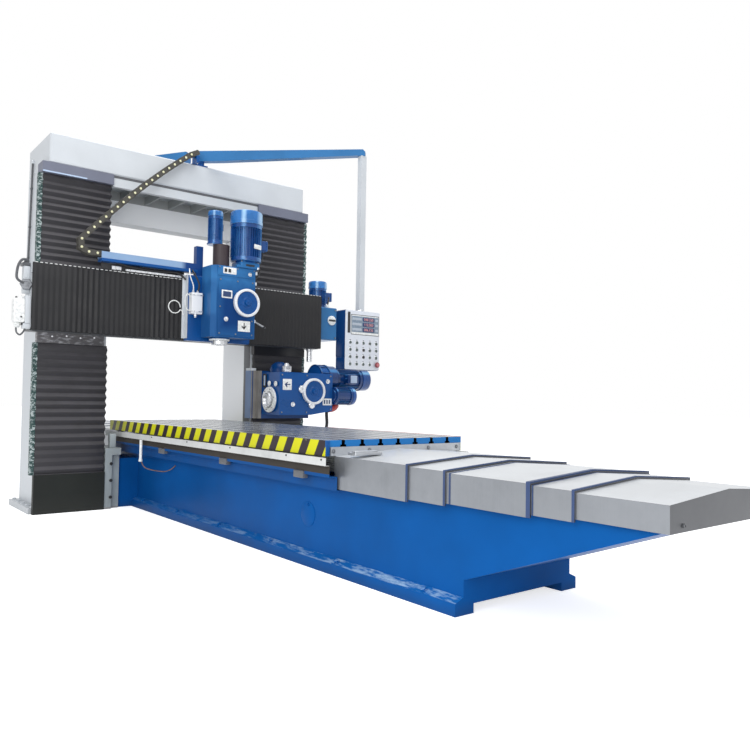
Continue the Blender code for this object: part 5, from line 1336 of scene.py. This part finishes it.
def crossbeam_casting():
    """The crossbeam's solid with its left shoe drawn in to the width of the guards: the points at the
    shoe's inner end slide along the beam."""
    mesh = NODES["crossbeam"].data.copy()
    merged = bmesh.new()
    merged.from_mesh(mesh)
    bmesh.ops.remove_doubles(merged, verts=merged.verts, dist=1e-5)
    merged.to_mesh(mesh)
    merged.free()
    flat = np.zeros(3 * len(mesh.vertices))
    mesh.vertices.foreach_get("co", flat)
    points = flat.reshape(-1, 3)
    underside, inner_end, guard_edge = 1.7605, -0.90, -0.893
    across, height = points[:, 0], points[:, 2]
    points[(height < underside) & (across < 0) & (across > inner_end), 0] = guard_edge
    mesh.vertices.foreach_set("co", points.reshape(-1))
    mesh.set_sharp_from_angle(angle=math.radians(30))
    mesh.materials.clear()
    mesh.materials.append(BEAM_GREY.material)
    item = bpy.data.objects.new("crossbeam_casting", mesh)
    bpy.context.scene.collection.objects.link(item)
    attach(item, "crossbeam")
    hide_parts("crossbeam")


def beam_details():
    """Zips along the crossbeam's guards, fittings at both of its ends, and screws on its left shoe."""
    zips = {"left": [], "right": []}
    for name, start, end in (("left", -1.625, -0.165), ("right", 0.655, 1.625)):
        count = int(abs(end - start) / 0.042)
        for index in range(count):
            x = start + (index + 0.5) * (end - start) / count
            zips[name].append(slab((x - 0.012, x + 0.012), (-0.2025, -0.1985), (2.3980, 2.4040), 0.0008))
    low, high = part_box("saddle")
    item = piece("guard_zip_left", zips["left"], PALE_PLATE, slot="black_fabric")
    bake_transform(item)
    item = piece("guard_zip_right", zips["right"], PALE_PLATE, slot="black_fabric")
    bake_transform(item)
    shoe = [screw((-1.44 + step * 0.13, -0.1702, 1.712 + 0.01 * (step % 2)), (0, -1, 0), 0.008)
            for step in range(4)]
    piece("shoe_screws", shoe, SILVER, "crossbeam")
    plug = [turned([(0, 0.052), (0.034, 0.058), (0.040, 0.052), (0.040, 0.030), (0.034, 0.026)],
                   (-1.664, -0.095, 2.185), (-0.25, -0.95, 0.19), 6)]
    piece("beam_end_plug", plug, SCREW_STEEL, "crossbeam", slot="slate_grey")
    cap = turned([(0, 0.040), (0.022, 0.040), (0.026, 0.033), (0.150, 0.033), (0.156, 0.026)],
                 (1.574, -0.034, 1.7596), (0, 0, -1), 24)
    piece("lift_screw_cap", cap, SILVER, "crossbeam")
    block = [slab((-1.690, -1.6345), (-0.100, -0.020), (2.110, 2.370), 0.006, 0.012)]
    piece("beam_end_block", block, LIGHT_GREY, "crossbeam")
    fittings = [turned([(0, 0.022), (0.028, 0.022), (0.030, 0.014), (0.050, 0.014)], (-1.652, -0.04, 2.420),
                       (-0.35, -0.94, 0.0), 12),
                turned([(0, 0.018), (0.022, 0.018), (0.024, 0.012), (0.044, 0.012)], (-1.672, -0.07, 2.370),
                       (0, 0, 1), 6),
                slab((-1.700, -1.6345), (-0.100, 0.010), (2.372, 2.402), 0.004)]
    piece("beam_end_fittings", fittings, DARK_STEEL, "crossbeam", slot="bright_steel")
    low, high = (np.array(corner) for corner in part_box("oiler"))
    middle = ((low[0] + high[0]) / 2 + 0.028, (low[1] + high[1]) / 2)
    tank = [slab((middle[0] - 0.050, middle[0] + 0.048), (low[1], high[1]),
                 (low[2] + 0.004, high[2] - 0.028), 0.010, 0.022),
            turned([(0, 0.026), (0.010, 0.026), (0.014, 0.018), (0.028, 0.016)],
                   (middle[0] + 0.012, middle[1], high[2] - 0.0285), (0, 0, 1), 20),
            turned([(0, 0.020), (0.012, 0.028), (0.030, 0.030), (0.046, 0.018), (0.050, 0.006)],
                   (middle[0] - 0.010, middle[1], low[2] + 0.0045), (0, 0, -1), 20)]
    item = piece("oil_tank", tank, PALE_PLATE, "crossbeam")
    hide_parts("oiler")
    marks = [screw((middle[0] + 0.014, low[1], low[2] + 0.055), (0, -1, 0), 0.008),
             turned([(0, 0.009), (0.014, 0.009), (0.017, 0.005)],
                    (middle[0] - 0.022, middle[1], high[2] - 0.0285), (0, 0, 1), 14),
             turned([(0, 0.012), (0.020, 0.012), (0.022, 0.006)],
                    (middle[0] + 0.028, middle[1] - 0.02, low[2] + 0.0045), (0, 0, -1), 14)]
    piece("oil_tank_fittings", marks, RUBBER, "crossbeam")
    plate = [slab((middle[0] + 0.0485, -1.6335), (-0.170, -0.092), (low[2], high[2]), 0.003),
             slab((-1.700, -1.6335), (-0.165, -0.096), (low[2] - 0.050, low[2] - 0.0005), 0.004)]
    item = piece("oil_tank_bracket", plate, LIGHT_GREY, "crossbeam", slot="slate_grey")
    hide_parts("oiler_bracket")
    hoses = [tube([(-1.668, -0.115, 2.425), (-1.712, -0.13, 2.418), (-1.742, -0.13, 2.370),
                   (-1.756, -0.13, 2.300), (-1.752, -0.13, 2.235), (-1.700, -0.12, 2.200)], 0.012, 10, 6),
             tube([(middle[0] - 0.018, middle[1], low[2] - 0.040),
                   (middle[0] - 0.012, middle[1], low[2] - 0.085),
                   (middle[0] + 0.015, middle[1], low[2] - 0.108),
                   (middle[0] + 0.042, middle[1], low[2] - 0.085), (-1.672, middle[1], low[2] - 0.046)],
                  0.008, 10, 6)]
    piece("beam_end_hoses", hoses, DARK_STEEL, "crossbeam")
    boss = [turned([(-0.001, 0.058), (0.014, 0.058), (0.018, 0.050), (0.018, 0.012)], (1.850, -0.1003, 2.130),
                   (0, -1, 0), 36),
            turned([(0, 0.020), (0.030, 0.020), (0.036, 0.014)], (1.815, -0.062, 2.2904), (0, 0, 1), 20)]
    piece("gearbox_boss", boss, PALE_PLATE, "crossbeam", slot="light_grey")
    slot = [slab((1.800, 1.900), (-0.1205, -0.1180), (2.118, 2.142), 0.0008, 0.006)]
    slot += [tube([(1.815, -0.062, 2.326), (1.818, -0.068, 2.36), (1.838, -0.05, 2.40),
                   (1.866, -0.01, 2.43)], 0.009, 8, 6)]
    piece("gearbox_slot", slot, RUBBER, "crossbeam")
    gear_low, gear_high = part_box("feed_gearbox")
    corners = [(x, z) for x in (gear_low[0] + 0.03, gear_high[0] - 0.03)
               for z in (gear_low[2] + 0.03, gear_high[2] - 0.03)]
    piece("gearbox_screws", [screw((x, gear_low[1], z), (0, -1, 0), 0.010) for x, z in corners],
          SCREW_STEEL, "crossbeam")


def cover_strips():
    """Wiper strips over the ends of the cover sheets, the far caps' screws, and the bolts of the plate that
    carries the first sheet."""
    for end, way in (("front", -1), ("rear", 1)):
        boxes = {number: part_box(f"{end}_cover_{number}") for number in range(2, 6)}
        step = boxes[2][1][0] - boxes[3][1][0]
        rows = [(1, 0.000, 0.018), (2, 0.000, 0.016), (2, -0.034, -0.020), (3, -0.012, -0.003),
                (3, 0.0, 0.026), (4, 0.000, 0.016)]
        for row, (number, first, last) in enumerate(rows):
            low, high = boxes[max(number, 2)]
            grown = step if number == 1 else 0.0
            sheet_low, sheet_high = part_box(f"{end}_cover_{number}")
            tip = sheet_low[1] if way < 0 else sheet_high[1]
            shrink = step if first < 0 else 0.0
            half = high[0] + grown - shrink
            ridge = high[2] + grown - shrink
            eave = ridge - 0.036
            foot = low[2] - (0.0133 if number == 1 else 0.0) + (0.0133 if first < 0 else 0.0)
            thick = 0.0018
            lip = thick if first < 0 else 0.008 if row == 4 else 0.0055
            outline = [(-half - thick, foot), (-half - thick, eave + lip), (0, ridge + lip),
                       (half + thick, eave + lip), (half + thick, foot), (half - 0.0005, foot),
                       (half - 0.0005, eave - 0.0005), (0, ridge - 0.0005), (-half + 0.0005, eave - 0.0005),
                       (-half + 0.0005, foot)]
            near, far = sorted((tip - way * first, tip - way * last))
            body = "table" if number == 1 else f"{end}_cover_{number}"
            if first < 0:
                body = "frame" if number == 4 else f"{end}_cover_{number + 1}"
            piece(f"{end}_strip_{row + 1}", band(outline, near + 0.0004, far - 0.0004, 1, 0.0004),
                  STRIP_BLUE, body)
        low, high = boxes[5]
        tip = low[1] if way < 0 else high[1]
        bolts = [screw((x, tip, low[2] + 0.028), (0, way, 0), 0.010) for x in (-0.405, 0.405)]
        piece(f"{end}_cap_screws", bolts, DARK_STEEL, "frame", slot="bright_steel")
    plate_front = TABLE_LOW[1] - 0.0123
    bolts = []
    for x in (-0.568, -0.268, 0.279, 0.566):
        bolts += hex_bolt((x, plate_front, 0.818), (0, -1, 0), 0.011)
    piece("cover_plate_bolts", bolts, SCREW_STEEL, "table")
    block = [slab((-0.552, -0.330), (-3.800, -3.715), (0.8030, 0.8210), 0.002, 0.006),
             slab((-0.545, -0.360), (-3.790, -3.745), (0.8206, 0.8300), 0.002, 0.006)]
    piece("cover_clamp", block, SHEET_STEEL, "table")
    corner = slab((-0.624, -0.596), (TABLE_LOW[1] - 0.010, TABLE_LOW[1] - 0.0008), (0.786, 0.886), 0.002)
    piece("table_corner_plate", corner, MACHINE_BLUE, "table")


def bed_details():
    """The bed's round cover and bolts, the gutters' hangers, the drain, the tie blocks' bolts and posts."""
    side = -(TABLE_WIDTH - 0.240 - 0.070) / 2
    disc = turned([(-0.0005, 0.088), (0.003, 0.088), (0.005, 0.084), (0.005, 0.010)], (side, -3.15, 0.345),
                  (-1, 0, 0), 40)
    piece("bed_cover", disc, BED_BLUE, "frame")
    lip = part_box("gutter_left")[0][0]
    hangers = [slab((side_x - 0.012, side_x + 0.030), (y - 0.060, y + 0.060), (0.622, 0.6715), 0.003)
               for side_x in (lip + 0.030, -lip - 0.048) for y in (-0.90, -2.150, -3.270)]
    piece("gutter_hangers", hangers, DARK_STEEL, "frame")
    studs = [screw((lip, y, 0.766), (-1, 0, 0), 0.006) for y in (-0.72, -1.517, -2.315, -3.145, -3.574)]
    piece("gutter_screws", studs, RUBBER, "frame", slot="bright_steel")
    bolts = [screw((side - 0.005, -3.159, 0.415), (-1, 0, 0), 0.010)]
    for x in (side - 0.034, -side + 0.034):
        for y in np.arange(-4.40, 3.9, 0.85):
            bolts += hex_bolt((x, y, 0.0835), np.array((math.copysign(0.404, x), 0, 0.915)), 0.016)
    piece("bed_bolts", bolts, BED_BLUE, "frame")
    pipe = lip - 0.016
    drain = [tube([(pipe, -0.49, 0.727), (pipe, -0.49, 0.63), (pipe, -0.49, 0.527)], 0.0145, 12, 6),
             turned([(0, 0.019), (0.018, 0.019), (0.020, 0.015)], (pipe, -0.49, 0.519), (0, 0, 1), 16)]
    piece("drain_pipe", drain, PALE_PLATE, "frame")
    hose = tube([(pipe, -0.49, 0.530), (pipe + 0.04, -0.53, 0.455), (side - 0.06, -0.68, 0.430),
                 (side - 0.03, -0.80, 0.455), (side - 0.001, -0.86, 0.500)], 0.005, 8, 8)
    piece("drain_hose", hose, COPPER, "frame")
    ties, posts = [], []
    for name in ("left", "right"):
        block_low, block_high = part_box(f"tie_block_{name}")
        middle = (block_low[0] + block_high[0]) / 2
        for z in (0.12, 0.29, 0.46):
            ties.append(screw((middle - 0.02, block_low[1], z), (0, -1, 0), 0.017))
        front = block_low[1] + (0.012 if name == "left" else 0.056)
        posts.append(slab((middle - 0.032, middle + 0.028), (front, front + 0.058),
                          (block_high[2] + 0.0004, block_high[2] + 0.145), 0.003))
    piece("tie_bolts", ties, RUBBER, "frame", slot="bright_steel")
    piece("tie_posts", posts, BLOCK_GREY, "frame")


def column_details():
    """Dark guideway strips, foot bolts, the crown's dark joint and the conduit."""
    strips, bolts = [], []
    for side in (-1, 1):
        low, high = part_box("column_right" if side > 0 else "column_left")
        inner = min(abs(low[0]), abs(high[0]))
        outer = max(abs(low[0]), abs(high[0]))
        across = sorted((side * (inner - 0.0022), side * (inner - 0.0004)))
        strips.append(slab(across, (0.113, 0.262), (0.640, 2.395), 0.0006))
        for y in np.linspace(0.10, 0.82, 5):
            bolts += hex_bolt((side * (outer - 0.040), y, 0.0600), (0, 0, 1), 0.018)
    piece("way_strips", strips, DARK_STEEL, "frame")
    piece("foot_bolts", bolts, LIGHT_GREY, "frame")
    low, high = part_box("tie_frame")
    joint = slab((low[0] + 0.001, high[0] - 0.001), (low[1] - 0.0014, low[1] - 0.0002),
                 (high[2] - 0.026, high[2] - 0.0004), 0.0004)
    piece("crown_joint", joint, DARK_STEEL, "frame")
    box_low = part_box("bellows_box_left")[0]
    lips = slab((box_low[0] + 0.003, box_low[0] + 0.42), (box_low[1] - 0.0014, box_low[1] - 0.0002),
                (box_low[2] + 0.001, box_low[2] + 0.015), 0.0004)
    piece("guard_box_lip", lips, PALE_BLUE, "frame", slot="slate_grey")
    conduit = [tube([(-1.4780, 0.615, 3.560), (-1.4780, 0.632, 3.30), (-1.4780, 0.660, 2.90),
                     (-1.4780, 0.687, 2.55), (-1.4780, 0.690, 2.47)], 0.0095, 12, 6)]
    conduit += [slab((-1.4890, -1.4675), (y - 0.018, y + 0.018), (z - 0.008, z + 0.008), 0.002)
                for y, z in ((0.632, 3.30), (0.660, 2.90), (0.684, 2.58))]
    piece("conduit", conduit, DARK_STEEL, "frame")
    ends = [slab((-1.490, -1.4676), (0.598, 0.634), (3.556, 3.590), 0.003),
            slab((-1.51, -1.4676), (0.660, 0.720), (2.41, 2.485), 0.005)]
    piece("table_far_edge", slab((0.6252, 0.6275), (TABLE_LOW[1] + 0.002, -1.797), (0.882, 0.892), 0.0006),
          RED, "table", slot="cast_iron")
    piece("conduit_boxes", ends, LIGHT_GREY, "frame")


def pendant():
    """The pendant: a blue case, a pale front with a screen and rows of push buttons, and a red stop."""
    low, high = (np.array(corner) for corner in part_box("pendant_box"))
    front = low[1]
    seam = low[2] + 0.133
    case = [slab((low[0], high[0]), (front + 0.016, high[1]), (seam + 0.002, high[2]), 0.008, 0.014),
            slab((low[0], high[0]), (front + 0.016, high[1]), (low[2], seam - 0.002), 0.008, 0.014),
            slab((low[0] + 0.003, high[0] - 0.003), (front + 0.020, high[1] - 0.003),
                 (low[2] + 0.02, high[2] - 0.02), 0.004)]
    item = piece("pendant_case", case, DEEP_BLUE, "pendant")
    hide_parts("pendant_box")
    panel = [slab((low[0] + 0.003, high[0] - 0.003), (front + 0.003, front + 0.017),
                  (low[2] + 0.003, high[2] - 0.003), 0.004, 0.012)]
    piece("pendant_panel", panel, PANEL_WHITE, "pendant")
    face = front + 0.003
    piece("pendant_bar", slab((1.240, 1.274), (face - 0.003, face - 0.0002), (1.868, 2.092), 0.0008, 0.003),
          RUBBER, "pendant")
    rim = slab((1.284, 1.668), (face - 0.0022, face - 0.0002), (1.852, 2.070), 0.0008, 0.006)
    piece("pendant_rim", rim, DARK_STEEL, "pendant", slot="black_cover")
    inset = slab((1.289, 1.663), (face - 0.0030, face - 0.0018), (1.858, 2.062), 0.0006, 0.006)
    piece("pendant_inset", inset, PALE_PLATE, "pendant")
    field = slab((1.292, 1.660), (face - 0.0042, face - 0.0026), (1.880, 2.054), 0.0008, 0.006)
    piece("pendant_frame", field, SCREEN_GREY, "pendant")
    bars, figures, blue = [], [], []
    for row in range(3):
        z = 2.022 - row * 0.056
        bars.append(slab((1.300, 1.424), (face - 0.0055, face - 0.0038), (z - 0.013, z + 0.013), 0.0004,
                         0.003))
        blue.append(slab((1.440, 1.600), (face - 0.0055, face - 0.0038), (z - 0.022, z + 0.022), 0.0004,
                         0.003))
        figures.append(letters(("048.250", "112.000", "006.735")[row], 0.040, (1.520, face - 0.0064, z)))
        bars.append(slab((1.614, 1.652), (face - 0.0055, face - 0.0038), (z - 0.013, z + 0.013), 0.0004,
                         0.003))
    piece("pendant_keys", bars, SCREEN_BAR, "pendant")
    piece("pendant_screen", blue, STRIP_BLUE, "pendant", slot="black_cover")
    piece("pendant_figures", figures, SCREEN_PINK, "pendant")
    rings, green, black, marks = [], [], [], []
    for row in range(4):
        for column in range(5):
            x, z = 1.278 + column * 0.0885, 1.766 - row * 0.0765
            if row == 3 and column == 4:
                continue
            rings.append(turned([(-0.0005, 0.0165), (-0.0005, 0.0215), (0.003, 0.0215), (0.005, 0.0190),
                                 (0.005, 0.0165)], (x, face, z), (0, -1, 0), 20, True))
            dark = column == 2 and row in (1, 2)
            reach = 0.013 if dark else 0.008
            button = turned([(-0.0005, 0.0163), (reach - 0.002, 0.0163), (reach, 0.0130)], (x, face, z),
                            (0, -1, 0), 18)
            (black if dark else green).append(button)
            marks.append(slab((x - 0.010, x + 0.010), (face - 0.0008, face + 0.0003),
                              (z + 0.026, z + 0.031), 0.0002))
    piece("pendant_button_rings", rings, SILVER, "pendant")
    piece("pendant_buttons", green, BUTTON_GREEN, "pendant")
    piece("pendant_buttons_dark", black + marks, RUBBER, "pendant")
    stop = turned([(-0.0005, 0.017), (0.010, 0.017), (0.012, 0.029), (0.020, 0.031), (0.027, 0.026),
                   (0.030, 0.014)], (1.640, face, 1.536), (0, -1, 0), 32)
    piece("pendant_stop", stop, STOP_RED, "pendant")
    knob = turned([(0.0295, 0.019), (0.0325, 0.018), (0.0345, 0.010)], (1.640, face, 1.536), (0, -1, 0), 28)
    piece("pendant_stop_top", knob, STOP_PINK, "pendant")
    pole_low, pole_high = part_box("pendant_pole")
    middle = ((pole_low[0] + pole_high[0]) / 2, (pole_low[1] + pole_high[1]) / 2)
    collar = turned([(0, 0.048), (0.010, 0.048), (0.013, 0.044), (0.020, 0.040)], (*middle, high[2]),
                    (0, 0, 1), 36)
    piece("pendant_collar", collar, SILVER, "pendant", slot="light_grey")


def details():
    head_details()
    spindles()
    side_details()
    saddle_details()
    beam_details()
    cover_strips()
    bed_details()
    column_details()
    pendant()
    crossbeam_casting()
    NODES["cable_tray"].data.materials[0] = TRAY_BLUE.material


paint_solids()
guards()
motors()
drag_chain()
handwheels()
details()
set_camera()
set_stage()
bpy.context.scene.view_settings.view_transform = "Standard"
